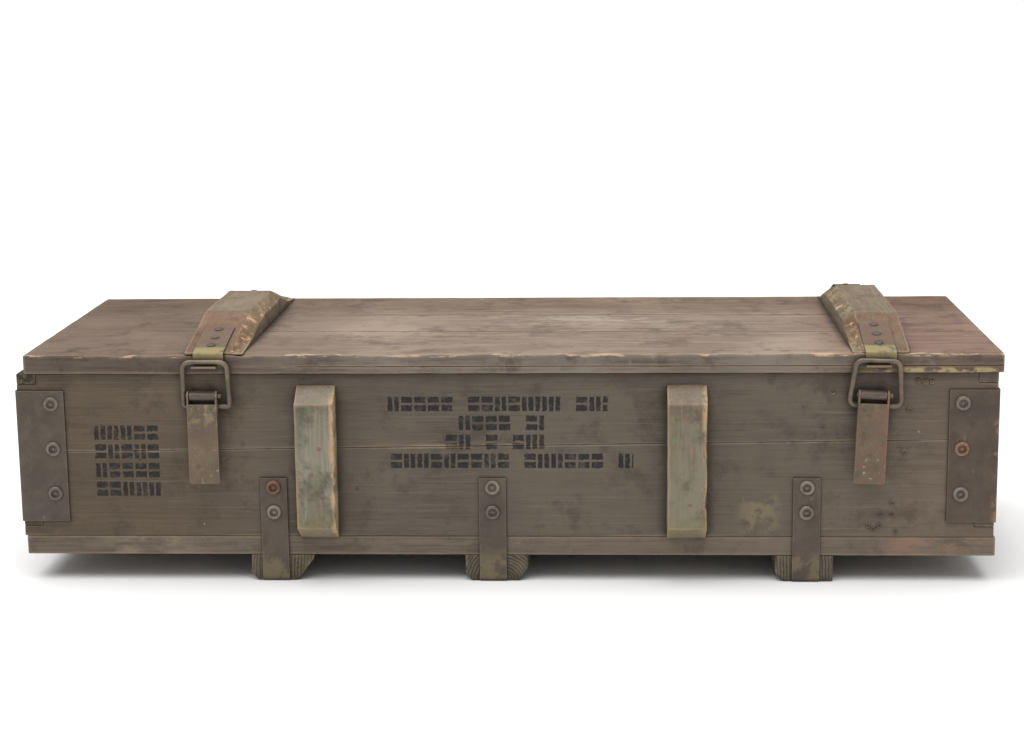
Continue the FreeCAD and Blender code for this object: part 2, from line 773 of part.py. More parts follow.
def hinge_box_leaf(name):
    """The leaf on the back wall, with the two outer knuckles."""
    x0 = hinge_places[name] - hinge_width / 2
    x1 = hinge_places[name] + hinge_width / 2
    inner = hinge_middle_width / 2 + hinge_side_gap
    middle = hinge_places[name]
    web_foot = pin_z - hinge_knuckle_radius
    web_top = web_foot + hinge_leaf_t
    pieces = [block(x0, x1, half_depth, half_depth + hinge_leaf_t, web_top - hinge_leaf_height, web_top)]
    for start, end in ((x0, middle - inner), (middle + inner, x1)):
        pieces.append(block(start, end, half_depth, pin_y, web_foot, web_top))
        pieces.append(hinge_tube(start, end))
    return fuse(pieces).cut(hinge_bore(x0, x1, knuckle_bore_fit))


def hinge_pin(name):
    x = hinge_places[name]
    half = hinge_width / 2 + hinge_pin_overhang
    return rod_x(pin_radius, x - half, x + half, pin_y, pin_z)


def hinge_lid_screws():
    pairs = []
    for name, x in hinge_places.items():
        pairs += band_screws(name, x, 1, hinge_leaf_t, hook_screw_steps, leaf_screw_length)
    return pairs


def hinge_box_screws():
    pairs = []
    foot = pin_z - hinge_knuckle_radius + hinge_leaf_t - hinge_leaf_height
    for x in hinge_places.values():
        for height in hinge_screw_heights:
            place = V(x, half_depth + hinge_leaf_t, foot + height)
            pairs.append(screw(place, V(0, -1, 0), leaf_screw_length))
    return pairs


# ---- Build everything ------------------------------------------------------------------------
fasteners = {
    "skid_strap_fasteners": strap_fasteners(),
    "corner_plate_fasteners": plate_fasteners(),
    "side_batten_nails": side_batten_nails(),
    "end_handle_screws": handle_screws(),
    "latch_base_screws": latch_screws(),
    "hinge_box_screws": hinge_box_screws(),
    "lid_batten_nails": lid_batten_nails(),
    "lid_hook_screws": hook_screws(),
    "hinge_lid_screws": hinge_lid_screws(),
}
box_fasteners = sum([fasteners[name] for name in (
    "skid_strap_fasteners", "corner_plate_fasteners", "side_batten_nails", "end_handle_screws",
    "latch_base_screws", "hinge_box_screws")], [])
lid_fasteners = fasteners["lid_batten_nails"] + fasteners["lid_hook_screws"] + fasteners["hinge_lid_screws"]
box_nodes = {}
lid_nodes = {}
moving_nodes = {}

seams = {"front": (front_seam_height, front_seam_rise), "back": (back_seam_height, back_seam_rise)}
for wall_name, side in SIDES.items():
    for level, plank in split(side_wall(side), *seams[wall_name]).items():
        box_nodes[wall_name + "_plank_" + level] = plank
for wall_name, end in ENDS.items():
    for level, plank in split(end_wall(end), end_seam_height, 0.0).items():
        box_nodes[wall_name + "_end_plank_" + level] = plank
    box_nodes["end_handle_" + wall_name] = end_handle(end)
for index in range(floor_board_count):
    box_nodes["floor_board_" + str(index + 1)] = floor_board(index)
for name in skid_places:
    box_nodes["skid_" + name] = skid(name)
    box_nodes["skid_strap_" + name] = skid_strap(name)
for end_name, end in ENDS.items():
    for side_name, side in SIDES.items():
        box_nodes["corner_plate_" + side_name + "_" + end_name] = corner_plate(end, side)
for name in batten_places:
    box_nodes["cradle_" + name] = cradle(name)
    for side_name, side in SIDES.items():
        box_nodes[side_name + "_batten_" + name] = side_batten(name, side)
for name in latch_places:
    box_nodes["latch_base_" + name] = latch_base(name)
    moving_nodes["latch_lever_" + name] = latch_lever(name)
    moving_nodes["latch_bail_" + name] = latch_bail(name)
    box_nodes["hinge_box_leaf_" + name] = hinge_box_leaf(name)
    lid_nodes["hinge_lid_leaf_" + name] = hinge_lid_leaf(name)
    lid_nodes["lid_hook_" + name] = lid_hook(name)
    lid_nodes["lid_batten_" + name] = lid_batten(name)
for index, place in enumerate(("front", "middle", "back")):
    lid_nodes["lid_plank_" + place] = lid_plank(index)

for name, shape in box_nodes.items():
    save(drilled(shape, box_fasteners), name)
for name, shape in lid_nodes.items():
    save(drilled(shape, lid_fasteners), name)
for name, shape in moving_nodes.items():
    save(shape, name)
for name in latch_places:
    save(latch_pin(name), "latch_pin_" + name)
    save(hinge_pin(name), "hinge_pin_" + name)
for name, pairs in fasteners.items():
    save(Part.makeCompound([solid for solid, hole in pairs]), name)
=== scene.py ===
"""Looks for a painted wooden shipping crate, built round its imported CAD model. Metres, Z up."""
import bmesh
import bpy
import json
import math
import random
from mathutils import Matrix, Vector, noise


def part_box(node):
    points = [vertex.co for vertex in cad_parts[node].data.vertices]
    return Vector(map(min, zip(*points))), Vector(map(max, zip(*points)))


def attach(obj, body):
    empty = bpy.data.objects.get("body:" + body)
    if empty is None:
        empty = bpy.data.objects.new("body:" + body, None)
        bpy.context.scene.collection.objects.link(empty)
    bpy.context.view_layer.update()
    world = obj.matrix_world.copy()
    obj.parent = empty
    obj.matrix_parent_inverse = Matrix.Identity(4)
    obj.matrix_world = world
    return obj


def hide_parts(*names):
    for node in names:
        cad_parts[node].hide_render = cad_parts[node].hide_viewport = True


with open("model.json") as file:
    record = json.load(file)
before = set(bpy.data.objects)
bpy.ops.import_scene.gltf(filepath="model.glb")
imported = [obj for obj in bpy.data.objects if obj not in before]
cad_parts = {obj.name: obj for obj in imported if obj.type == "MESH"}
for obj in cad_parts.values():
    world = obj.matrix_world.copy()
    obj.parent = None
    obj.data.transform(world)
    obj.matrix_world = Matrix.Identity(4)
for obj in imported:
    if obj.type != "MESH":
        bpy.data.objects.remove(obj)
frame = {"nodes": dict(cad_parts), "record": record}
nodes = frame["nodes"]
record = frame["record"]
scene = bpy.context.scene
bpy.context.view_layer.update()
body_of_node = {node: body for body, members in record["behaviour"]["bodies"].items() for node in members}
MM = 0.001
ENDS = {"left": -1, "right": 1}
SIDES = {"front": -1, "back": 1}


# ---- Shader groups -------------------------------------------------------------------
class Graph:
    """A node tree with short calls for the nodes that paint and wood need."""

    def __init__(self, tree):
        self.tree = tree
        self.nodes = tree.nodes
        self.links = tree.links

    def add(self, kind, inputs=None, **settings):
        node = self.nodes.new(kind)
        for name, value in settings.items():
            setattr(node, name, value)
        for name, value in (inputs or {}).items():
            self.feed(node.inputs[name], value)
        return node

    def feed(self, socket, value):
        if isinstance(value, bpy.types.NodeSocket):
            self.links.new(value, socket)
        else:
            socket.default_value = value

    def math(self, operation, a, b=0.0, clamp=False):
        node = self.add("ShaderNodeMath", {0: a, 1: b}, operation=operation, use_clamp=clamp)
        return node.outputs[0]

    def scaled(self, vector, scale):
        """The pattern's coordinates, stretched by a scale for each axis."""
        node = self.add("ShaderNodeVectorMath", {0: vector, 1: scale}, operation="MULTIPLY")
        return node.outputs[0]

    def noise(self, vector, scale, detail=4.0, rough=0.55, warp=0.0):
        inputs = {"Vector": vector, "Scale": scale, "Detail": detail, "Roughness": rough, "Distortion": warp}
        return self.add("ShaderNodeTexNoise", inputs).outputs["Fac"]

    def ramp(self, value, low, high, at_low=0.0, at_high=1.0):
        """A smooth step from at_low to at_high as value goes from low to high."""
        node = self.add("ShaderNodeMapRange", {0: value, 1: low, 2: high, 3: at_low, 4: at_high},
                        interpolation_type="SMOOTHSTEP")
        return node.outputs[0]

    def mix(self, factor, a, b, blend="MIX"):
        node = self.add("ShaderNodeMix", data_type="RGBA", blend_type=blend)
        self.feed(node.inputs[0], factor)
        self.feed(node.inputs[6], a)
        self.feed(node.inputs[7], b)
        return node.outputs[2]

    def split(self, vector):
        return self.add("ShaderNodeSeparateXYZ", {0: vector}).outputs


def colour(red, green, blue):
    return (red, green, blue, 1.0)


def group(name, inputs, outputs):
    """An empty node group with named sockets, its graph and its two ends."""
    tree = bpy.data.node_groups.new(name, "ShaderNodeTree")
    kinds = {"float": "NodeSocketFloat", "vector": "NodeSocketVector", "colour": "NodeSocketColor"}
    for label, kind, value in inputs:
        socket = tree.interface.new_socket(label, in_out="INPUT", socket_type=kinds[kind])
        if value is not None:
            socket.default_value = value
    for label, kind in outputs:
        tree.interface.new_socket(label, in_out="OUTPUT", socket_type=kinds[kind])
    graph = Graph(tree)
    start = graph.add("NodeGroupInput").outputs
    end = graph.add("NodeGroupOutput").inputs
    return graph, start, end


def make_grain_group():
    """Long wood grain along the stretched axis: a height, a fine streak mask and a broad tone mask."""
    graph, start, end = group(
        "wood_grain", [("Vector", "vector", None), ("Stretch", "vector", (1.0, 12.0, 12.0))],
        [("Height", "float"), ("Streaks", "float"), ("Tone", "float")])
    along = graph.scaled(start["Vector"], start["Stretch"])
    fine = graph.noise(along, 34.0, 6.0, 0.62, 0.1)
    broad = graph.noise(along, 9.0, 4.0, 0.6, 0.1)
    fibres = graph.noise(along, 95.0, 2.0, 0.5)
    height = graph.math("ADD", graph.math("MULTIPLY", fine, 0.6), graph.math("MULTIPLY", fibres, 0.4))
    graph.feed(end["Height"], height)
    graph.feed(end["Streaks"], graph.ramp(fine, 0.42, 0.66))
    graph.feed(end["Tone"], graph.ramp(broad, 0.35, 0.65))
    return graph.tree


def make_edge_group():
    """Where edges are rubbed: a band along each edge of the piece, broken up by noise."""
    graph, start, end = group(
        "edge_wear", [("Vector", "vector", None), ("Reach", "float", 0.003), ("Amount", "float", 0.5),
                      ("Breakup", "float", 60.0)], [("Mask", "float")])
    flat = graph.add("ShaderNodeNewGeometry").outputs["Normal"]
    rounded = graph.add("ShaderNodeBevel", {"Radius": start["Reach"]}, samples=4).outputs[0]
    turned = graph.add("ShaderNodeVectorMath", {0: flat, 1: rounded}, operation="DOT_PRODUCT").outputs["Value"]
    near = graph.ramp(turned, 0.86, 0.999, 1.0, 0.0)
    broken = graph.noise(start["Vector"], start["Breakup"], 5.0, 0.65)
    reach = graph.math("MULTIPLY", near, start["Amount"])
    graph.feed(end["Mask"], graph.ramp(graph.math("ADD", reach, broken), 0.84, 0.96))
    return graph.tree


def make_grime_group():
    """Painted shade with grime: darkening in corners and under edges, where little light reaches, broken up by
    noise.
    """
    graph, start, end = group(
        "crevice_shade", [("Vector", "vector", None), ("Reach", "float", 0.012)], [("Mask", "float")])
    open_sky = graph.add("ShaderNodeAmbientOcclusion", {"Distance": start["Reach"]}, samples=6).outputs["AO"]
    patchy = graph.noise(start["Vector"], 45.0, 4.0, 0.6)
    shut = graph.math("SUBTRACT", 1.0, open_sky)
    graph.feed(end["Mask"], graph.ramp(graph.math("MULTIPLY", shut, graph.math("ADD", patchy, 0.7)), 0.05, 0.6))
    return graph.tree


def make_spot_group():
    """Scattered round spots: chips, rust pits and splashes."""
    graph, start, end = group(
        "spots", [("Vector", "vector", None), ("Scale", "float", 30.0), ("Size", "float", 0.12),
                  ("Share", "float", 0.2)], [("Mask", "float")])
    warped = graph.add("ShaderNodeTexNoise", {"Vector": start["Vector"], "Scale": 140.0, "Detail": 2.0})
    shaken = graph.add("ShaderNodeMix", data_type="VECTOR")
    graph.feed(shaken.inputs[0], 0.006)
    graph.feed(shaken.inputs[4], start["Vector"])
    graph.feed(shaken.inputs[5], warped.outputs["Color"])
    cells = graph.add("ShaderNodeTexVoronoi", {"Vector": shaken.outputs[1], "Scale": start["Scale"]})
    near = graph.math("LESS_THAN", cells.outputs["Distance"], start["Size"])
    picked = graph.math("LESS_THAN", graph.split(cells.outputs["Color"])[0], start["Share"])
    graph.feed(end["Mask"], graph.math("MULTIPLY", near, picked))
    return graph.tree


def make_stencil_group():
    """Rows of plain blocks with stencil gaps, in a rectangle of a wall facing along Y."""
    graph, start, end = group(
        "stencil_blocks", [("Vector", "vector", None), ("Left", "float", 0.0), ("Right", "float", 0.1),
                           ("Top", "float", 0.2), ("Pitch", "float", 0.02), ("Rows", "float", 4.0),
                           ("Cell", "float", 0.0138), ("Height", "float", 0.76)], [("Mask", "float")])
    shaken = graph.noise(start["Vector"], 420.0, 3.0, 0.6)
    nudge = graph.math("MULTIPLY", graph.math("SUBTRACT", shaken, 0.5), 0.0034)
    axes = graph.split(start["Vector"])
    across = graph.math("ADD", axes[0], nudge)
    below_top = graph.math("SUBTRACT", start["Top"], graph.math("ADD", axes[2], nudge))
    row = graph.math("DIVIDE", below_top, start["Pitch"])
    column = graph.math("DIVIDE", graph.math("SUBTRACT", across, start["Left"]), start["Cell"])
    row_number = graph.math("FLOOR", row)
    column_number = graph.math("FLOOR", column)
    cell = graph.add("ShaderNodeCombineXYZ", {0: column_number, 1: row_number, 2: start["Top"]}).outputs[0]
    draw = graph.split(graph.add("ShaderNodeTexWhiteNoise", {"Vector": cell}).outputs["Color"])
    along = graph.math("SUBTRACT", column, column_number)
    up = graph.math("DIVIDE", graph.math("SUBTRACT", row, row_number), start["Height"])
    inside = [
        graph.math("GREATER_THAN", across, start["Left"]), graph.math("LESS_THAN", across, start["Right"]),
        graph.math("GREATER_THAN", row, 0.0), graph.math("LESS_THAN", row, start["Rows"]),
        graph.math("LESS_THAN", up, 1.0), graph.math("GREATER_THAN", along, 0.16),
        graph.math("GREATER_THAN", draw[0], 0.14)]
    upright = graph.math("GREATER_THAN", graph.math("ABSOLUTE", graph.math("SUBTRACT", along, 0.58)), 0.07)
    level = graph.math("GREATER_THAN", graph.math("ABSOLUTE", graph.math("SUBTRACT", up, 0.5)), 0.08)
    which = graph.math("GREATER_THAN", draw[1], 0.5)
    bridge = graph.math("MAXIMUM", graph.math("MINIMUM", upright, which),
                        graph.math("MINIMUM", level, graph.math("SUBTRACT", 1.0, which)))
    mask = bridge
    for part in inside:
        mask = graph.math("MINIMUM", mask, part)
    faded = graph.ramp(graph.noise(start["Vector"], 130.0, 5.0, 0.75), 0.34, 0.52, 0.5, 1.0)
    graph.feed(end["Mask"], graph.math("MULTIPLY", mask, faded))
    return graph.tree


grain_group = make_grain_group()
stencil_group = make_stencil_group()
edge_group = make_edge_group()
crevice_shade_group = make_grime_group()
spot_group = make_spot_group()


def use(graph, tree, inputs):
    node = graph.add("ShaderNodeGroup", node_tree=tree)
    for name, value in inputs.items():
        graph.feed(node.inputs[name], value)
    return node.outputs


def stencil_marks(graph, place, marks):
    """The darkest of several blocks of stencilled marks, on the wall's outer face only."""
    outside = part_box("front_plank_upper")[0].y + 0.003
    mask = 0.0
    for left, right, top, rows in marks:
        extent = {"Left": left, "Right": right, "Top": top, "Rows": rows}
        block = use(graph, stencil_group, {"Vector": place, **extent})
        mask = graph.math("MAXIMUM", block["Mask"], mask)
    outer = graph.math("LESS_THAN", graph.split(place)[1], outside)
    return graph.math("MULTIPLY", mask, graph.math("MULTIPLY", outer, 0.95))


# ---- Materials -------------------------------------------------------------------------
def new_material(name):
    material = bpy.data.materials.new(name)
    material.use_nodes = True
    graph = Graph(material.node_tree)
    shader = graph.nodes["Principled BSDF"]
    place = graph.add("ShaderNodeTexCoord").outputs["Object"]
    return material, graph, shader, place


def surface(graph, shader, base, rough, height, strength, distance):
    graph.feed(shader.inputs["Base Color"], base)
    graph.feed(shader.inputs["Roughness"], rough)
    bump = graph.add("ShaderNodeBump", {"Strength": strength, "Distance": distance, "Height": height})
    graph.feed(shader.inputs["Normal"], bump.outputs["Normal"])


def painted_wood(name, paint, paint_light, paint_dark, stretch, wear=0.42, bare=colour(0.36, 0.25, 0.15),
                 green=0.0, contrast=0.5, mottle=0.4, marks=None, weather=None):
    """Thin matt paint over planed wood: grain shows through, edges are rubbed down to the wood."""
    material, graph, shader, place = new_material(name)
    grain = use(graph, grain_group, {"Vector": place, "Stretch": stretch})
    base = graph.mix(graph.math("MULTIPLY", grain["Tone"], contrast), paint, paint_light)
    base = graph.mix(graph.math("MULTIPLY", grain["Streaks"], contrast), base, paint_dark)
    cloud = graph.ramp(graph.noise(place, 6.0, 4.0, 0.55), 0.38, 0.68)
    base = graph.mix(graph.math("MULTIPLY", cloud, mottle), base, paint_light)
    dirt = graph.ramp(graph.noise(place, 23.0, 7.0, 0.72), 0.48, 0.68)
    base = graph.mix(graph.math("MULTIPLY", dirt, mottle), base, paint_dark)
    if weather:
        base = weather(graph, place, base)
    if green > 0:
        patches = graph.ramp(graph.noise(graph.scaled(place, (1.0, 1.0, 0.6)), 42.0, 4.0, 0.6), 0.48, 0.62)
        base = graph.mix(graph.math("MULTIPLY", patches, green), base, colour(0.185, 0.20, 0.125))
        moss = graph.ramp(graph.noise(place, 27.0, 5.0, 0.7), 0.6, 0.68)
        base = graph.mix(graph.math("MULTIPLY", moss, green), base, colour(0.26, 0.22, 0.075))
    if marks:
        base = graph.mix(stencil_marks(graph, place, marks), base, colour(0.013, 0.012, 0.012))
    specks = use(graph, spot_group, {"Vector": place, "Scale": 75.0, "Size": 0.13, "Share": 0.05})
    base = graph.mix(graph.math("MULTIPLY", specks["Mask"], 0.4), base, colour(0.03, 0.025, 0.02))
    chips = use(graph, spot_group, {"Vector": place, "Scale": 52.0, "Size": 0.07, "Share": 0.035})
    base = graph.mix(graph.math("MULTIPLY", chips["Mask"], 0.7), base, colour(0.42, 0.36, 0.29))
    rubbed = use(graph, edge_group, {"Vector": graph.scaled(place, stretch), "Reach": 0.0045, "Amount": wear,
                                     "Breakup": 9.0})
    base = graph.mix(graph.math("MULTIPLY", rubbed["Mask"], 0.85), base, bare)
    # Painted shade with grime: corners, recesses and the undersides of edges darkened.
    crevice_shade = use(graph, crevice_shade_group, {"Vector": place})
    base = graph.mix(graph.math("MULTIPLY", crevice_shade["Mask"], 0.75), base, colour(0.022, 0.018, 0.014))
    roughness = graph.ramp(grain["Height"], 0.2, 0.8, 0.74, 0.6)
    surface(graph, shader, base, roughness, grain["Height"], 0.3, 0.0009)
    shader.inputs["Specular IOR Level"].default_value = 0.3
    return material


def band(graph, value, middle, core, reach):
    """One within core of a middle value, falling to nought at reach."""
    return graph.ramp(graph.math("ABSOLUTE", graph.math("SUBTRACT", value, middle)), core, reach, 1.0, 0.0)


def flakes(graph, place, scale, low, high):
    """Ragged patches where a rough noise is high."""
    return graph.ramp(graph.noise(place, scale, 6.0, 0.7), low, high)


def tint(graph, mask, base, shade):
    return graph.mix(mask, base, colour(*shade), "MULTIPLY")


def lid_weather(graph, place, base):
    """Lid: sides painted darker than the top as shade, and greyer; back and left end dark, scuffs, dark seams
    and a bare front edge.
    """
    x, y, z = graph.split(place)
    top = graph.split(graph.add("ShaderNodeTexCoord").outputs["Normal"])[2]
    drift = graph.math("MULTIPLY", graph.math("SUBTRACT", graph.noise(place, 9.0, 4.0, 0.6), 0.5), 0.12)
    drifted = graph.math("ADD", x, drift)
    base = tint(graph, graph.ramp(drifted, -0.36, -0.10, 1.0, 0.0), base, (0.61, 0.555, 0.52))
    base = tint(graph, graph.ramp(drifted, 0.27, 0.42), base, (0.86, 0.73, 0.70))
    base = tint(graph, graph.ramp(graph.math("ADD", y, drift), 0.03, 0.13), base, (0.71, 0.66, 0.58))
    scuffed = graph.math("MULTIPLY", band(graph, x, 0.09, 0.05, 0.15), band(graph, y, 0.02, 0.01, 0.06))
    patches = flakes(graph, graph.scaled(place, (1.0, 2.5, 1.0)), 26.0, 0.46, 0.60)
    base = graph.mix(graph.math("MULTIPLY", scuffed, graph.math("MULTIPLY", patches, 0.6)), base,
                     colour(0.40, 0.34, 0.27))
    pale = flakes(graph, graph.scaled(place, (1.0, 3.0, 1.0)), 34.0, 0.60, 0.70)
    base = graph.mix(graph.math("MULTIPLY", pale, 0.35), base, colour(0.40, 0.33, 0.27))
    for node in ("lid_plank_front", "lid_plank_middle"):
        ends = outline_corners(node)
        low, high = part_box(node)
        lean = (ends["right"][1] - ends["left"][1]) / (high.x - low.x)
        seam = graph.math("SUBTRACT", y, graph.math("MULTIPLY", x, lean))
        line = band(graph, seam, ends["left"][1] - lean * low.x, 0.0007, 0.0030)
        broken = flakes(graph, place, 30.0, 0.30, 0.48)
        base = graph.mix(graph.math("MULTIPLY", line, graph.math("MULTIPLY", broken, 0.85)), base,
                         colour(0.03, 0.022, 0.016))
    # Painted shade: faces that do not look up are darkened, and made greyer.
    base = tint(graph, graph.ramp(top, 0.35, 0.8, 1.0, 0.0), base, (0.60, 0.67, 0.72))
    low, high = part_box("lid_plank_front")
    rim = graph.math("MULTIPLY", graph.ramp(y, low.y + 0.001, low.y + 0.0065, 1.0, 0.0),
                     graph.ramp(z, high.z - 0.004, high.z - 0.0015))
    at_front = graph.ramp(y, low.y + 0.004, low.y + 0.008, 1.0, 0.0)
    crust = graph.math("MULTIPLY", graph.ramp(x, 0.36, 0.39), at_front)
    crust = graph.math("MULTIPLY", crust, graph.ramp(z, low.z + 0.004, low.z + 0.007, 1.0, 0.05))
    crust = graph.math("MULTIPLY", crust, flakes(graph, graph.scaled(place, (1.0, 2.0, 2.0)), 60.0, 0.46, 0.54))
    base = graph.mix(crust, base, colour(0.33, 0.26, 0.125))
    torn = flakes(graph, graph.scaled(place, (1.0, 5.0, 5.0)), 27.0, 0.52, 0.57)
    return graph.mix(graph.math("MULTIPLY", rim, torn), base, colour(0.50, 0.36, 0.25))


def wall_weather(graph, place, base):
    """Walls: warmer to the left, lighter to the right, with brushed lines, scrapes, a smear and stains."""
    x, _, z = graph.split(place)
    low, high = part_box("front_plank_upper")
    drift = graph.math("MULTIPLY", graph.math("SUBTRACT", graph.noise(place, 8.0, 4.0, 0.6), 0.5), 0.2)
    drifted = graph.math("ADD", x, drift)
    base = tint(graph, graph.ramp(drifted, -0.42, -0.12, 1.0, 0.0), base, (0.98, 0.88, 0.78))
    base = tint(graph, graph.ramp(drifted, 0.30, 0.46), base, (1.22, 1.13, 1.10))
    lines = graph.ramp(graph.noise(graph.scaled(place, (1.0, 90.0, 90.0)), 9.0, 4.0, 0.6), 0.56, 0.66)
    base = graph.mix(graph.math("MULTIPLY", lines, 0.35), base, colour(0.05, 0.038, 0.028))
    brushed = graph.ramp(graph.noise(graph.scaled(place, (1.0, 70.0, 70.0)), 7.0, 4.0, 0.6), 0.60, 0.72)
    base = graph.mix(graph.math("MULTIPLY", brushed, 0.3), base, colour(0.21, 0.175, 0.14))
    scraped = flakes(graph, graph.scaled(place, (1.0, 3.0, 3.0)), 17.0, 0.66, 0.72)
    base = graph.mix(graph.math("MULTIPLY", scraped, 0.45), base, colour(0.26, 0.195, 0.125))
    smeared = graph.math("MULTIPLY", band(graph, x, 0.262, 0.008, 0.030), band(graph, z, 0.074, 0.010, 0.030))
    smears = graph.math("MULTIPLY", smeared, flakes(graph, place, 65.0, 0.44, 0.58))
    base = graph.mix(graph.math("MULTIPLY", smears, 0.7), base, colour(0.21, 0.17, 0.095))
    # A pale line along the seam between the wall planks: a painted highlight on the plank's edge, broken up
    # like worn paint.
    left, right = seam_heights("front_plank_lower")
    level = graph.math("SUBTRACT", z, graph.math("MULTIPLY", x, (right - left) / (high.x - low.x)))
    seam = graph.math("MULTIPLY", band(graph, level, (left + right) / 2, 0.0008, 0.0020),
                      flakes(graph, place, 14.0, 0.36, 0.52))
    base = graph.mix(graph.math("MULTIPLY", seam, 0.6), base, colour(0.24, 0.205, 0.165))
    corner = graph.math("MULTIPLY", graph.ramp(x, low.x + 0.014, low.x + 0.026, 1.0, 0.0),
                        graph.ramp(z, high.z - 0.013, high.z - 0.009))
    torn = flakes(graph, place, 120.0, 0.40, 0.50)
    base = graph.mix(graph.math("MULTIPLY", corner, graph.math("MULTIPLY", torn, 0.85)), base,
                     colour(0.022, 0.018, 0.013))
    stains = use(graph, spot_group, {"Vector": place, "Scale": 34.0, "Size": 0.11, "Share": 0.05})
    return graph.mix(graph.math("MULTIPLY", stains["Mask"], 0.5), base, colour(0.052, 0.04, 0.03))


def floor_weather(graph, place, base):
    """Floor boards: scuffed to reddish wood near the right end, with pale scrapes near the left one."""
    x = graph.split(place)[0]
    torn = flakes(graph, graph.scaled(place, (1.0, 3.0, 3.0)), 30.0, 0.44, 0.60)
    red = graph.math("MULTIPLY", graph.ramp(x, 0.36, 0.42), torn)
    base = graph.mix(graph.math("MULTIPLY", red, 0.7), base, colour(0.25, 0.15, 0.10))
    pale = graph.math("MULTIPLY", band(graph, x, -0.37, 0.02, 0.07), torn)
    return graph.mix(graph.math("MULTIPLY", pale, 0.6), base, colour(0.24, 0.19, 0.14))


def skid_weather(graph, place, base):
    """Skids: dark growth rings across the bevelled end grain."""
    facing = graph.split(graph.add("ShaderNodeTexCoord").outputs["Normal"])[1]
    rings = graph.add("ShaderNodeTexWave", {"Vector": place, "Scale": 95.0, "Distortion": 2.5, "Detail": 3.0,
                                            "Detail Scale": 1.5}, wave_type="RINGS", rings_direction="Y")
    lines = graph.ramp(rings.outputs["Fac"], 0.45, 0.8)
    ends = graph.ramp(graph.math("ABSOLUTE", facing), 0.2, 0.5)
    return graph.mix(graph.math("MULTIPLY", ends, graph.math("MULTIPLY", lines, 0.75)), base,
                     colour(0.028, 0.021, 0.014))


def batten_weather(graph, place, base):
    """Side battens: pale end grain on the bevels, splintered right edges, the right one darker."""
    x, _, z = graph.split(place)
    up = graph.math("ABSOLUTE", graph.split(graph.add("ShaderNodeTexCoord").outputs["Normal"])[2])
    base = graph.mix(graph.math("MULTIPLY", graph.ramp(up, 0.2, 0.45), 0.45), base, colour(0.26, 0.205, 0.16))
    base = tint(graph, graph.ramp(x, -0.05, 0.05), base, (0.84, 0.78, 0.74))
    for node in ("front_batten_left", "front_batten_right"):
        edge = band(graph, x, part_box(node)[1].x, 0.0015, 0.007)
        cream = flakes(graph, graph.scaled(place, (1.0, 1.0, 0.5)), 60.0, 0.47, 0.55)
        base = graph.mix(graph.math("MULTIPLY", edge, graph.math("MULTIPLY", cream, 0.85)), base,
                         colour(0.47, 0.33, 0.20))
        orange = flakes(graph, place, 90.0, 0.56, 0.62)
        base = graph.mix(graph.math("MULTIPLY", edge, orange), base, colour(0.50, 0.22, 0.07))
    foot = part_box("front_batten_left")[0].z
    low_down = graph.ramp(z, foot + 0.015, foot + 0.05, 1.0, 0.0)
    olive = graph.math("MULTIPLY", low_down, flakes(graph, place, 48.0, 0.42, 0.58))
    return graph.mix(graph.math("MULTIPLY", olive, 0.7), base, colour(0.19, 0.165, 0.07))


def lid_batten_weather(graph, place, base):
    """Lid battens: redder front slopes, and a scraped long edge with flakes of cream and orange."""
    across, along, _ = graph.split(graph.add("ShaderNodeTexCoord").outputs["Normal"])
    front_slope = graph.ramp(along, -0.20, -0.08, 1.0, 0.0)
    base = tint(graph, front_slope, base, (0.88, 0.72, 0.66))
    aside = graph.math("ABSOLUTE", across)
    slope = graph.math("MULTIPLY", graph.ramp(aside, 0.15, 0.35), graph.ramp(aside, 0.85, 0.98, 1.0, 0.0))
    base = tint(graph, slope, base, (0.84, 0.76, 0.68))
    worn = flakes(graph, graph.scaled(place, (1.0, 0.5, 1.0)), 85.0, 0.50, 0.60)
    base = graph.mix(graph.math("MULTIPLY", slope, graph.math("MULTIPLY", worn, 0.6)), base,
                     colour(0.33, 0.25, 0.14))
    orange = graph.math("MULTIPLY", graph.ramp(aside, 0.05, 0.3), flakes(graph, place, 75.0, 0.585, 0.63))
    return graph.mix(orange, base, colour(0.56, 0.32, 0.16))


def seam_heights(node):
    """How high a wall plank's upper edge is at its left and right ends."""
    low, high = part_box(node)
    points = [vert.co for vert in nodes[node].data.vertices]
    near = 0.03
    return max(p.z for p in points if p.x < low.x + near), max(p.z for p in points if p.x > high.x - near)


def outline_corners(node):
    """The two ends, seen from above, of a plank with slanting sides: each end's front and back y."""
    points = [vert.co for vert in nodes[node].data.vertices]
    low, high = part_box(node)
    found = {}
    for name, x in (("left", low.x), ("right", high.x)):
        column = [p.y for p in points if abs(p.x - x) < 0.0045]
        found[name] = (min(column), max(column))
    return found


ALONG_X = (0.7, 12.0, 12.0)
ALONG_Y = (12.0, 0.7, 12.0)
ALONG_Z = (12.0, 12.0, 0.7)
BLOCK_MARKS = [(-0.426, -0.356, 0.166, 4.0), (-0.120, 0.108, 0.196, 1.0), (-0.061, 0.044, 0.176, 2.0),
               (-0.118, 0.134, 0.136, 1.0)]
WALL_COLOURS = (colour(0.099, 0.080, 0.060), colour(0.136, 0.110, 0.083), colour(0.056, 0.044, 0.032))
WALL_LOOK = {"wear": 0.34, "contrast": 0.38, "mottle": 0.64, "weather": wall_weather}
front_paint = painted_wood("front_paint", *WALL_COLOURS, ALONG_X, marks=BLOCK_MARKS, **WALL_LOOK)
wall_paint = painted_wood("wall_paint", *WALL_COLOURS, ALONG_X, **WALL_LOOK)
end_paint = painted_wood("end_paint", *WALL_COLOURS, ALONG_Y, **WALL_LOOK)
floor_paint = painted_wood("floor_paint", colour(0.128, 0.098, 0.073), colour(0.172, 0.134, 0.10),
                           colour(0.070, 0.052, 0.037), ALONG_X, wear=0.5, contrast=0.6, mottle=0.6,
                           weather=floor_weather)
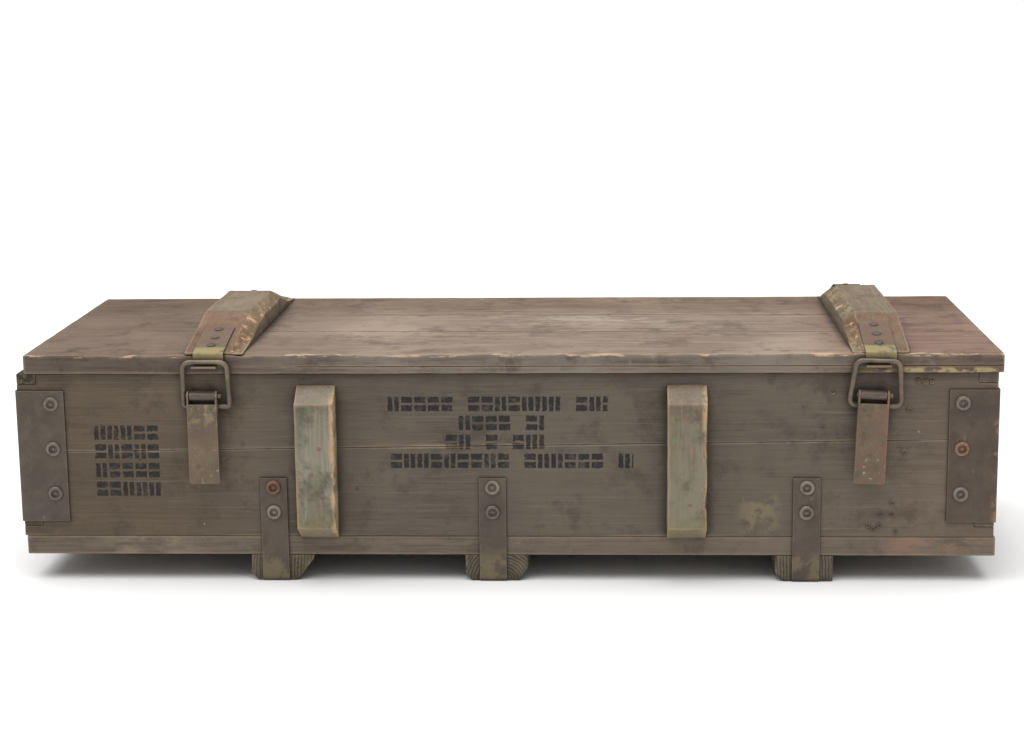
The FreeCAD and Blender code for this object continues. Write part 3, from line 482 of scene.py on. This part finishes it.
lid_paint = painted_wood("lid_paint", colour(0.205, 0.150, 0.110), colour(0.35, 0.268, 0.205),
                         colour(0.098, 0.066, 0.048), ALONG_X, wear=0.6, contrast=0.5, mottle=0.75,
                         weather=lid_weather)
lid_batten_paint = painted_wood("lid_batten_paint", colour(0.17, 0.122, 0.080), colour(0.27, 0.205, 0.135),
                                colour(0.075, 0.050, 0.031), ALONG_Y, wear=0.62, green=0.22, mottle=0.6,
                                weather=lid_batten_weather)
batten_paint = painted_wood("batten_paint", colour(0.165, 0.142, 0.098), colour(0.27, 0.245, 0.19),
                            colour(0.080, 0.066, 0.042), ALONG_Z, wear=0.7, green=0.4,
                            bare=colour(0.46, 0.29, 0.14), contrast=0.7, mottle=0.8,
                            weather=batten_weather)
skid_paint = painted_wood("skid_paint", colour(0.115, 0.092, 0.062), colour(0.18, 0.148, 0.10),
                          colour(0.04, 0.032, 0.021), ALONG_Y, wear=0.4, green=0.12, contrast=0.5, mottle=0.6,
                          weather=skid_weather)


def bare_wood(name, stretch):
    material, graph, shader, place = new_material(name)
    grain = use(graph, grain_group, {"Vector": place, "Stretch": stretch})
    base = graph.mix(grain["Tone"], colour(0.46, 0.31, 0.18), colour(0.56, 0.41, 0.26))
    base = graph.mix(graph.math("MULTIPLY", grain["Streaks"], 0.5), base, colour(0.30, 0.18, 0.09))
    surface(graph, shader, base, 0.75, grain["Height"], 0.3, 0.001)
    shader.inputs["Specular IOR Level"].default_value = 0.3
    return material


cradle_wood = bare_wood("cradle_wood", ALONG_Y)


def painted_steel(name, paint, paint_light, rust_share=0.5, green=0.0, wear=0.6, dull=0.58, shade_amount=0.8,
                  weather=None):
    """Steel painted over with the box: paint dulled, rubbed edges and a little rust."""
    material, graph, shader, place = new_material(name)
    cloud = graph.ramp(graph.noise(place, 30.0, 5.0, 0.65), 0.36, 0.68)
    base = graph.mix(graph.math("MULTIPLY", cloud, 0.8), paint, paint_light)
    dirt = graph.ramp(graph.noise(place, 75.0, 6.0, 0.72), 0.5, 0.68)
    base = graph.mix(graph.math("MULTIPLY", dirt, 0.45), base, colour(0.04, 0.032, 0.024))
    if green > 0:
        patches = graph.ramp(graph.noise(place, 62.0, 4.0, 0.65), 0.54, 0.6)
        base = graph.mix(graph.math("MULTIPLY", patches, green), base, colour(0.22, 0.185, 0.065))
    rust = graph.ramp(graph.noise(place, 105.0, 6.0, 0.72), 0.66 - 0.1 * rust_share, 0.74 - 0.1 * rust_share)
    base = graph.mix(graph.math("MULTIPLY", rust, rust_share), base, colour(0.17, 0.07, 0.036))
    if weather:
        base = weather(graph, place, base)
    rubbed = use(graph, edge_group, {"Vector": place, "Reach": 0.0016, "Amount": wear, "Breakup": 110.0})
    base = graph.mix(graph.math("MULTIPLY", rubbed["Mask"], 0.6), base, colour(0.25, 0.205, 0.16))
    # Painted shade with grime: corners, recesses and the undersides of edges darkened.
    crevice_shade = use(graph, crevice_shade_group, {"Vector": place, "Reach": 0.007})
    base = graph.mix(graph.math("MULTIPLY", crevice_shade["Mask"], shade_amount), base, colour(0.018, 0.014, 0.011))
    height = graph.noise(place, 210.0, 4.0, 0.6)
    surface(graph, shader, base, graph.ramp(cloud, 0.0, 1.0, dull - 0.08, dull + 0.08), height, 0.25, 0.0006)
    shader.inputs["Specular IOR Level"].default_value = 0.5
    return material


def plate_weather(graph, place, base):
    """Plates and straps: darker to the right, with scraped and stained places."""
    x = graph.split(place)[0]
    base = tint(graph, graph.ramp(x, 0.2, 0.5), base, (0.90, 0.82, 0.76))
    stained = flakes(graph, place, 24.0, 0.46, 0.64)
    base = tint(graph, graph.math("MULTIPLY", stained, 0.7), base, (0.70, 0.66, 0.60))
    foot = graph.math("MULTIPLY", graph.ramp(graph.split(place)[2], 0.020, 0.040, 1.0, 0.0),
                      flakes(graph, place, 55.0, 0.44, 0.56))
    base = graph.mix(graph.math("MULTIPLY", foot, 0.7), base, colour(0.16, 0.125, 0.06))
    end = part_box("corner_plate_front_right")[1].x
    rusted = graph.math("MULTIPLY", band(graph, x, end, 0.001, 0.009), flakes(graph, place, 42.0, 0.52, 0.60))
    base = graph.mix(graph.math("MULTIPLY", rusted, 0.8), base, colour(0.27, 0.13, 0.055))
    scraped = flakes(graph, graph.scaled(place, (3.0, 3.0, 1.0)), 38.0, 0.62, 0.70)
    return graph.mix(graph.math("MULTIPLY", scraped, 0.5), base, colour(0.19, 0.15, 0.115))


def hook_weather(graph, place, base):
    """Hook straps: rusty along the lid batten, olive yellow round the bend, red under the ledge."""
    y, z = graph.split(place)[1:]
    edge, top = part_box("lid_plank_front")[0].y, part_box("lid_plank_front")[1].z
    on_slope = graph.ramp(y, edge + 0.012, edge + 0.020)
    rusty = graph.math("MULTIPLY", on_slope, flakes(graph, place, 60.0, 0.38, 0.55))
    base = graph.mix(graph.math("MULTIPLY", rusty, 0.75), base, colour(0.145, 0.07, 0.045))
    bend = graph.math("MULTIPLY", graph.ramp(y, edge + 0.010, edge + 0.015, 1.0, 0.0),
                      graph.ramp(z, top - 0.012, top - 0.006))
    base = graph.mix(graph.math("MULTIPLY", bend, flakes(graph, place, 70.0, 0.34, 0.52)), base,
                     colour(0.27, 0.212, 0.09))
    # The lip under the ledge: rust red, painted lighter as its highlight.
    ledge = graph.ramp(z, top - 0.013, top - 0.010, 1.0, 0.0)
    return graph.mix(graph.math("MULTIPLY", ledge, 0.75), base, colour(0.24, 0.12, 0.085))


def lever_weather(graph, place, base):
    """Levers: yellow-green patches near the pin, rust to the right and pale flecks towards the foot."""
    x, _, z = graph.split(place)
    low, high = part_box("latch_lever_left")
    mostly_left = graph.ramp(x, -0.1, 0.1, 0.75, 0.2)
    near_pin = graph.math("MULTIPLY", graph.ramp(z, high.z - 0.048, high.z - 0.02), mostly_left)
    patches = graph.math("MULTIPLY", near_pin, flakes(graph, place, 85.0, 0.47, 0.58))
    base = graph.mix(patches, base, colour(0.25, 0.205, 0.10))
    reddish = graph.math("MULTIPLY", graph.ramp(x, -0.1, 0.1), flakes(graph, place, 55.0, 0.50, 0.62))
    base = graph.mix(graph.math("MULTIPLY", reddish, 0.5), base, colour(0.15, 0.07, 0.045))
    flecks = graph.math("MULTIPLY", graph.ramp(z, low.z + 0.02, low.z + 0.05, 1.0, 0.0),
                        flakes(graph, place, 170.0, 0.60, 0.64))
    # The right lever's right edge: rust red, painted lighter as the highlight on its lit rim.
    right_edge = graph.math("MULTIPLY", band(graph, x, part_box("latch_lever_right")[1].x, 0.002, 0.006),
                            flakes(graph, place, 50.0, 0.36, 0.52))
    base = graph.mix(graph.math("MULTIPLY", right_edge, 0.8), base, colour(0.21, 0.075, 0.045))
    return graph.mix(graph.math("MULTIPLY", flecks, 0.7), base, colour(0.38, 0.32, 0.26))


plate_steel = painted_steel("plate_steel", colour(0.068, 0.049, 0.034), colour(0.112, 0.083, 0.058), 0.35,
                            wear=0.68, weather=plate_weather)
lever_steel = painted_steel("lever_steel", colour(0.100, 0.068, 0.041), colour(0.158, 0.108, 0.066), 0.5, 0.1,
                            wear=0.85, weather=lever_weather)
latch_steel = painted_steel("latch_steel", colour(0.080, 0.060, 0.042), colour(0.165, 0.127, 0.09), 0.5,
                            wear=0.7, shade_amount=0.5)
hook_steel = painted_steel("hook_steel", colour(0.110, 0.078, 0.050), colour(0.165, 0.122, 0.08), 0.6, 0.2,
                           wear=0.5, weather=hook_weather)
hinge_steel = painted_steel("hinge_steel", colour(0.085, 0.065, 0.045), colour(0.13, 0.10, 0.07), 0.5)
wire_steel = painted_steel("wire_steel", colour(0.095, 0.066, 0.042), colour(0.21, 0.152, 0.10), 0.7, wear=0.8,
                           dull=0.36, shade_amount=0.6)
rivet_steel = painted_steel("rivet_steel", colour(0.105, 0.082, 0.060), colour(0.27, 0.225, 0.17), 0.3,
                            wear=1.0, dull=0.33, shade_amount=0.7)
rusty_steel = painted_steel("rusty_steel", colour(0.17, 0.078, 0.043), colour(0.29, 0.16, 0.095), 0.8,
                            dull=0.6)
screw_steel = painted_steel("screw_steel", colour(0.070, 0.043, 0.030), colour(0.14, 0.09, 0.065), 0.7,
                            wear=0.7)
nail_steel = painted_steel("nail_steel", colour(0.17, 0.085, 0.06), colour(0.25, 0.15, 0.11), 0.8, shade_amount=0.5)


# ---- Shapes --------------------------------------------------------------------------------
def finish_piece(bm, name, material, body, replaced=(), sharp_over=20.0):
    """Turns a bmesh into an object that rides on a body and stands for CAD nodes."""
    mesh = bpy.data.meshes.new(name)
    bm.normal_update()
    bm.to_mesh(mesh)
    bm.free()
    mesh.materials.append(material)
    piece = bpy.data.objects.new(name, mesh)
    scene.collection.objects.link(piece)
    mesh.shade_smooth()
    mesh.set_sharp_from_angle(angle=math.radians(sharp_over))
    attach(piece, body)
    if replaced:
        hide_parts(*replaced)
    return piece


def stand_in(bm, node, material):
    """Finishes a piece that stands for one CAD node and rides where the node does."""
    return finish_piece(bm, node + "_worn", material, body_of_node[node], [node])


def long_edges(bm, axis, longer_than):
    """Edges that run along an axis for more than a length."""
    found = []
    for edge in bm.edges:
        run = edge.verts[1].co - edge.verts[0].co
        if abs(run[axis]) > longer_than and abs(run[axis]) > 0.9 * run.length:
            found.append(edge)
    return found


def dense_block(low, high, worn, step):
    """A block with rounded edges, divided finely enough to be shaped by hand."""
    bm = bmesh.new()
    bmesh.ops.create_cube(bm, size=1.0)
    size = Vector(high) - Vector(low)
    centre = (Vector(high) + Vector(low)) / 2
    bmesh.ops.scale(bm, vec=size, verts=bm.verts)
    bmesh.ops.translate(bm, vec=centre, verts=bm.verts)
    bmesh.ops.bevel(bm, geom=bm.edges[:], offset=worn, segments=2, profile=0.5, affect="EDGES", material=-1)
    for axis in range(3):
        cuts = int(size[axis] / step) - 1
        if cuts > 0:
            edges = long_edges(bm, axis, 2.5 * worn)
            bmesh.ops.subdivide_edges(bm, edges=edges, cuts=cuts, use_grid_fill=True)
    return bm


SHORT_EDGE = 0.006      # edges shorter than this stay sharp


def copied(node, worn=0.0):
    """A CAD node's shape with its long sharp edges rounded by hard use."""
    bm = bmesh.new()
    bm.from_mesh(nodes[node].data)
    bmesh.ops.remove_doubles(bm, verts=bm.verts, dist=1e-5)
    bmesh.ops.dissolve_limit(bm, angle_limit=math.radians(0.5), verts=bm.verts, edges=bm.edges)
    if worn > 0:
        sharp = [edge for edge in bm.edges if len(edge.link_faces) == 2 and edge.calc_length() > SHORT_EDGE
                 and edge.calc_face_angle(0.0) > math.radians(35)]
        bmesh.ops.bevel(bm, geom=sharp, offset=worn, segments=2, profile=0.5, affect="EDGES",
                        material=-1, clamp_overlap=False)
    return bm


def wobble(bm, amount, scale, seed, axes=(1.0, 1.0, 1.0)):
    """Small uneven shifts, as of hand-planed wood."""
    shift = Vector((seed * 3.1, seed * 1.7, seed * 0.9))
    for vert in bm.verts:
        turn = noise.noise_vector(vert.co * scale + shift)
        vert.co += Vector((turn[i] * axes[i] * amount for i in range(3)))


def chip(bm, centre, radius, depth, into):
    """Presses the surface in around a place, with a ragged rim."""
    centre = Vector(centre)
    into = Vector(into).normalized()
    for vert in bm.verts:
        ragged = 1.0 + 0.35 * noise.noise(vert.co * 260.0)
        away = (vert.co - centre).length / (radius * ragged)
        if away < 1.0:
            vert.co += into * depth * (1.0 - away * away)


# ---- Walls and floor ----------------------------------------------------------------------------
for side in SIDES:
    for level in ("lower", "upper"):
        node = side + "_plank_" + level
        stand_in(copied(node, 0.0008), node, front_paint if side == "front" else wall_paint)
for end in ENDS:
    for level in ("lower", "upper"):
        node = end + "_end_plank_" + level
        stand_in(copied(node, 0.0008), node, end_paint)
    stand_in(copied("end_handle_" + end, 0.0015), "end_handle_" + end, end_paint)
for index in (1, 2, 3):
    node = "floor_board_" + str(index)
    low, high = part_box(node)
    stand_in(dense_block(low, high, 0.0012, 0.012), node, floor_paint)
for name in ("left", "middle", "right"):
    stand_in(copied("skid_" + name, 0.0015), "skid_" + name, skid_paint)


# ---- Side battens ------------------------------------------------------------------------------
BATTEN_SLOPE = 0.016        # how much lower the batten's top is at its face than at the wall


def side_batten(node, outward, seed):
    """An upright batten, tapered to both ends, with splintered long edges."""
    low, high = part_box(node)
    bm = dense_block(low, high, 0.0012, 0.0035)
    middle = (low.z + high.z) / 2
    half = (high.z - low.z) / 2
    thickness = high.y - low.y
    wall = high.y if outward < 0 else low.y
    taper = BATTEN_SLOPE / half
    for vert in bm.verts:
        out = abs(vert.co.y - wall) / thickness
        vert.co.z = middle + (vert.co.z - middle) * (1.0 - taper * out)
    draw = random.Random(seed)
    for _ in range(7):
        place = Vector((high.x, wall + outward * thickness, low.z + 0.03 + draw.random() * (2 * half - 0.05)))
        size = 0.003 + 0.004 * draw.random()
        chip(bm, place, size * 1.6, size * 0.35, (-1, -outward, 0))
    wobble(bm, 0.0004, 70.0, seed)
    return stand_in(bm, node, batten_paint)


for end in ENDS:
    for side, outward in SIDES.items():
        side_batten(side + "_batten_" + end, outward, 3 + ENDS[end] + 5 * outward)
for end in ENDS:
    stand_in(copied("cradle_" + end, 0.001), "cradle_" + end, cradle_wood)


# ---- Lid -----------------------------------------------------------------------------------------
def lid_plank(node, seed):
    """A plank of the lid, its faces a little uneven and its edges dented."""
    low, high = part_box(node)
    sides = outline_corners(node)
    bm = dense_block(low, high, 0.0018, 0.006)
    for vert in bm.verts:
        along = (vert.co.x - low.x) / (high.x - low.x)
        front = sides["left"][0] + (sides["right"][0] - sides["left"][0]) * along
        back = sides["left"][1] + (sides["right"][1] - sides["left"][1]) * along
        across = (vert.co.y - low.y) / (high.y - low.y)
        vert.co.y = front + (back - front) * across
    wobble(bm, 0.0005, 30.0, seed, (0.0, 1.0, 0.6))
    return bm


def edge_groove(bm, y, z, width, depth, starts, full):
    """A narrow groove along the plank's front edge, from nothing at starts to its depth at full."""
    for level in (z - width, z, z + width):
        everything = bm.verts[:] + bm.edges[:] + bm.faces[:]
        bmesh.ops.bisect_plane(bm, geom=everything, plane_co=(0, 0, level), plane_no=(0, 0, 1), dist=1e-6)
    for vert in bm.verts:
        if vert.co.y < y + 0.004 and abs(vert.co.z - z) < 0.1 * width:
            vert.co.y += depth * min(max((vert.co.x - starts) / (full - starts), 0.0), 1.0)


for seed, place in enumerate(("front", "middle", "back")):
    node = "lid_plank_" + place
    plank = lid_plank(node, seed + 11)
    if place == "front":
        low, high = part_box(node)
        edge_groove(plank, low.y, low.z + 0.0074, 0.0006, 0.0013, low.x + 0.18, low.x + 0.42)
        draw = random.Random(8)
        for _ in range(60):
            spot = (low.x + draw.random() * (high.x - low.x), low.y, high.z)
            size = 0.004 + 0.005 * draw.random()
            chip(plank, spot, size * 1.5, size * 0.16, (0, 1, -1))
    stand_in(plank, node, lid_paint)


def lid_batten(node, worn_end, seed):
    """A batten across the lid with sloping ends and one long edge worn to a broad bevel."""
    low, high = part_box(node)
    bm = dense_block(low, high, 0.0014, 0.0036)
    profile = {}
    for vert in nodes[node].data.vertices:
        if vert.co.z > low.z + 0.0005:
            profile[round(vert.co.y, 5)] = max(vert.co.z, profile.get(round(vert.co.y, 5), 0.0))
    nose_front, nose_back = min(profile), max(profile)
    flat = [y for y, z in profile.items() if z > high.z - 0.0002]
    flat_front, flat_back = min(flat), max(flat)
    nose = min(profile[nose_front], profile[nose_back]) - low.z
    top = high.z - low.z
    edge = high.x if worn_end == "right" else low.x
    for vert in bm.verts:
        y = vert.co.y
        if y < flat_front:
            rise = nose + (top - nose) * (y - nose_front) / (flat_front - nose_front)
        elif y > flat_back:
            rise = nose + (top - nose) * (nose_back - y) / (nose_back - flat_back)
        else:
            rise = top
        share = (vert.co.z - low.z) / top
        broad = 0.011 + 0.005 * noise.noise(Vector((0.0, y * 26.0, seed)))
        inset = abs(vert.co.x - edge)
        if inset < broad:
            rise -= min((broad - inset) * 0.75, rise * 0.6)
        vert.co.z = low.z + share * rise
    wobble(bm, 0.0004, 60.0, seed, (1.0, 0.2, 0.6))
    return stand_in(bm, node, lid_batten_paint)


lid_batten("lid_batten_left", "right", 21)
lid_batten("lid_batten_right", "left", 22)

# ---- Steel ------------------------------------------------------------------------------------------
for side in SIDES:
    for end in ENDS:
        node = "corner_plate_" + side + "_" + end
        stand_in(copied(node, 0.0005), node, plate_steel)
for name in ("left", "middle", "right"):
    stand_in(copied("skid_strap_" + name, 0.0005), "skid_strap_" + name, plate_steel)


def loose_parts(node):
    """Lowest and highest corner of each separate solid in a CAD node."""
    bm = bmesh.new()
    bm.from_mesh(nodes[node].data)
    bmesh.ops.remove_doubles(bm, verts=bm.verts, dist=1e-6)
    waiting = set(bm.verts)
    corners = []
    while waiting:
        front = [waiting.pop()]
        reached = list(front)
        while front:
            vert = front.pop()
            for edge in vert.link_edges:
                other = edge.other_vert(vert)
                if other in waiting:
                    waiting.remove(other)
                    front.append(other)
                    reached.append(other)
        low = Vector(min(v.co[i] for v in reached) for i in range(3))
        high = Vector(max(v.co[i] for v in reached) for i in range(3))
        corners.append((low, high))
    bm.free()
    return corners


RIVET_HEAD = 0.0026     # how far a head stands out
RIVET_LEAN = 0.06       # how far one may lean to a side, in radians
RIVET_PROFILE = ((0.0, 1.2), (1.5, 1.1), (2.2, 0.3), (3.9, 0.2), (4.4, 1.7), (5.1, 2.5), (6.3, 2.5), (7.4, 1.6),
                 (7.9, 0.5), (7.9, 0.0))


def spun(profile, steps):
    """A mesh turned about Z from (radius, height) points in millimetres, closed at the axis."""
    bm = bmesh.new()
    ring = [bm.verts.new((radius * MM, 0, height * MM)) for radius, height in profile]
    edges = [bm.edges.new(pair) for pair in zip(ring, ring[1:])]
    bmesh.ops.spin(bm, geom=ring + edges, cent=(0, 0, 0), axis=(0, 0, 1), angle=math.tau, steps=steps,
                   use_merge=True)
    bmesh.ops.remove_doubles(bm, verts=bm.verts, dist=1e-6)
    bmesh.ops.recalc_face_normals(bm, faces=bm.faces)
    mesh = bpy.data.meshes.new("spun")
    bm.to_mesh(mesh)
    bm.free()
    return mesh


def rivets(node, name, rusted=()):
    """Domed rings with a dished middle and a pin, one to each CAD rivet; some are rusted through."""
    bm = bmesh.new()
    draw = random.Random(5)
    head = spun(RIVET_PROFILE, 28)
    places = sorted(loose_parts(node), key=lambda ends: (round(ends[0].y, 3), round(ends[0].x, 2), ends[0].z))
    for number, (low, high) in enumerate(places):
        size = high - low
        place = (low + high) / 2
        axis = 0 if size.x > size.y else 1
        outward = Vector((0, 0, 0))
        outward[axis] = 1.0 if place[axis] > 0 else -1.0
        face = high[axis] if outward[axis] > 0 else low[axis]
        place[axis] = face - outward[axis] * RIVET_HEAD
        first_vert, first_face = len(bm.verts), len(bm.faces)
        bm.from_mesh(head)
        bm.verts.ensure_lookup_table()
        bm.faces.ensure_lookup_table()
        lean = Matrix.Rotation(draw.uniform(-RIVET_LEAN, RIVET_LEAN), 4, "X")
        lean = lean @ Matrix.Rotation(draw.uniform(-RIVET_LEAN, RIVET_LEAN), 4, "Y")
        turn = outward.to_track_quat("Z", "Y").to_matrix().to_4x4()
        bmesh.ops.transform(bm, matrix=Matrix.Translation(place) @ turn @ lean, verts=bm.verts[first_vert:])
        for made in bm.faces[first_face:]:
            made.material_index = 1 if number in rusted else 0
    bpy.data.meshes.remove(head)
    piece = finish_piece(bm, name, rivet_steel, body_of_node[node], [node], 50.0)
    piece.data.materials.append(rusty_steel)
    return piece


rivets("corner_plate_fasteners", "plate_rivets", rusted=(4,))
rivets("skid_strap_fasteners", "strap_rivets", rusted=(1,))


DENT_PROFILE = ((0.0, 0.2), (1.3, 0.3), (1.9, 1.2), (2.5, 1.3), (3.5, 0.0))
DENTS = ((81, 164), (73, 163), (67, 163), (89, 134), (93, 90), (104, 36), (104, 24), (116, 24), (128, 12),
         (123, 9), (117, 12), (100, 6), (166, 152), (176, 116))     # from the right end and over the floor, mm


def dents(places, name):
    """Small craters with raised rims in the front wall."""
    bm = bmesh.new()
    draw = random.Random(14)
    crater = spun(DENT_PROFILE, 16)
    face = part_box("front_plank_upper")[0].y
    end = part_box("front_plank_upper")[1].x
    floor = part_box("front_plank_lower")[0].z
    for inset, height in places:
        first = len(bm.verts)
        bm.from_mesh(crater)
        bm.verts.ensure_lookup_table()
        size = Matrix.Diagonal((draw.uniform(0.7, 1.1), draw.uniform(0.7, 1.1), 1.0, 1.0))
        place = Matrix.Translation((end - inset * MM, face, floor + height * MM))
        upright = Vector((0, -1, 0)).to_track_quat("Z", "Y").to_matrix().to_4x4()
        bmesh.ops.transform(bm, matrix=place @ upright @ size, verts=bm.verts[first:])
    bpy.data.meshes.remove(crater)
    return finish_piece(bm, name, front_paint, "box", [], 60.0)


dents(DENTS, "wall_dents")
for prefix, material, worn in (("latch_lever", lever_steel, 0.0008), ("latch_base", latch_steel, 0.0003),
                               ("lid_hook", hook_steel, 0.0004),
                               ("hinge_box_leaf", hinge_steel, 0.0004),
                               ("hinge_lid_leaf", hinge_steel, 0.0004)):
    for end in ENDS:
        node = prefix + "_" + end
        stand_in(copied(node, worn), node, material)
for end in ENDS:
    for prefix in ("latch_pin_", "latch_bail_", "hinge_pin_"):
        nodes[prefix + end].data.materials.clear()
        nodes[prefix + end].data.materials.append(wire_steel)
for node, obj in nodes.items():
    if node.endswith("_nails") or node.endswith("_screws"):
        obj.data.materials.clear()
        obj.data.materials.append(nail_steel if node.endswith("_nails") else screw_steel)


# ---- Camera, floor and light ---------------------------------------------------------------------------
LENS = 71.19
VIEW_PLACE = (0.11046, -2.19786, 0.62787)
VIEW_ANGLES = (-0.0493668, 0.1944688, 0.0116365)        # yaw, pitch and roll, in radians


def make_camera():
    """A long lens in front of the crate and above it, turned a little to the left."""
    data = bpy.data.cameras.new("camera")
    data.sensor_width = 36.0
    data.lens = LENS
    data.clip_end = 60.0
    camera = bpy.data.objects.new("camera", data)
    scene.collection.objects.link(camera)
    yaw, pitch, roll = VIEW_ANGLES
    forward = Vector((math.sin(yaw) * math.cos(pitch), math.cos(yaw) * math.cos(pitch), -math.sin(pitch)))
    right = Vector((math.cos(yaw), -math.sin(yaw), 0.0))
    down = forward.cross(right)
    rolled_right = math.cos(roll) * right + math.sin(roll) * down
    rolled_down = math.cos(roll) * down - math.sin(roll) * right
    turned = Matrix((rolled_right, -rolled_down, -forward)).transposed()
    camera.matrix_world = Matrix.Translation(VIEW_PLACE) @ turned.to_4x4()
    scene.camera = camera


def make_stage():
    bm = bmesh.new()
    bmesh.ops.create_grid(bm, x_segments=1, y_segments=1, size=14.0)
    mesh = bpy.data.meshes.new("floor")
    bm.to_mesh(mesh)
    bm.free()
    floor = bpy.data.objects.new("floor", mesh)
    scene.collection.objects.link(floor)
    material, _, shader, _ = new_material("pale_floor")
    shader.inputs["Base Color"].default_value = colour(0.86, 0.86, 0.855)
    shader.inputs["Roughness"].default_value = 0.9
    shader.inputs["Specular IOR Level"].default_value = 0.1
    mesh.materials.append(material)


def wide_light(name, direction, strength):
    """A broad, even light from far away, soft enough to leave no hard shadow."""
    data = bpy.data.lights.new(name, "SUN")
    data.energy = strength
    data.angle = math.radians(70)
    lamp = bpy.data.objects.new(name, data)
    lamp.rotation_euler = Vector(direction).to_track_quat("-Z", "Y").to_euler()
    scene.collection.objects.link(lamp)


make_camera()
make_stage()
wide_light("high_left", (0.16, 0.14, -1.0), 3.1)
world = bpy.data.worlds.new("soft_white")
world.use_nodes = True
sky = Graph(world.node_tree)
background = sky.nodes["Background"]
background.inputs["Color"].default_value = colour(1.0, 1.0, 1.0)
seen = sky.add("ShaderNodeLightPath").outputs["Is Camera Ray"]
sky.feed(background.inputs["Strength"], sky.ramp(seen, 0.0, 1.0, 0.55, 1.1))
scene.world = world
scene.view_settings.view_transform = "Standard"
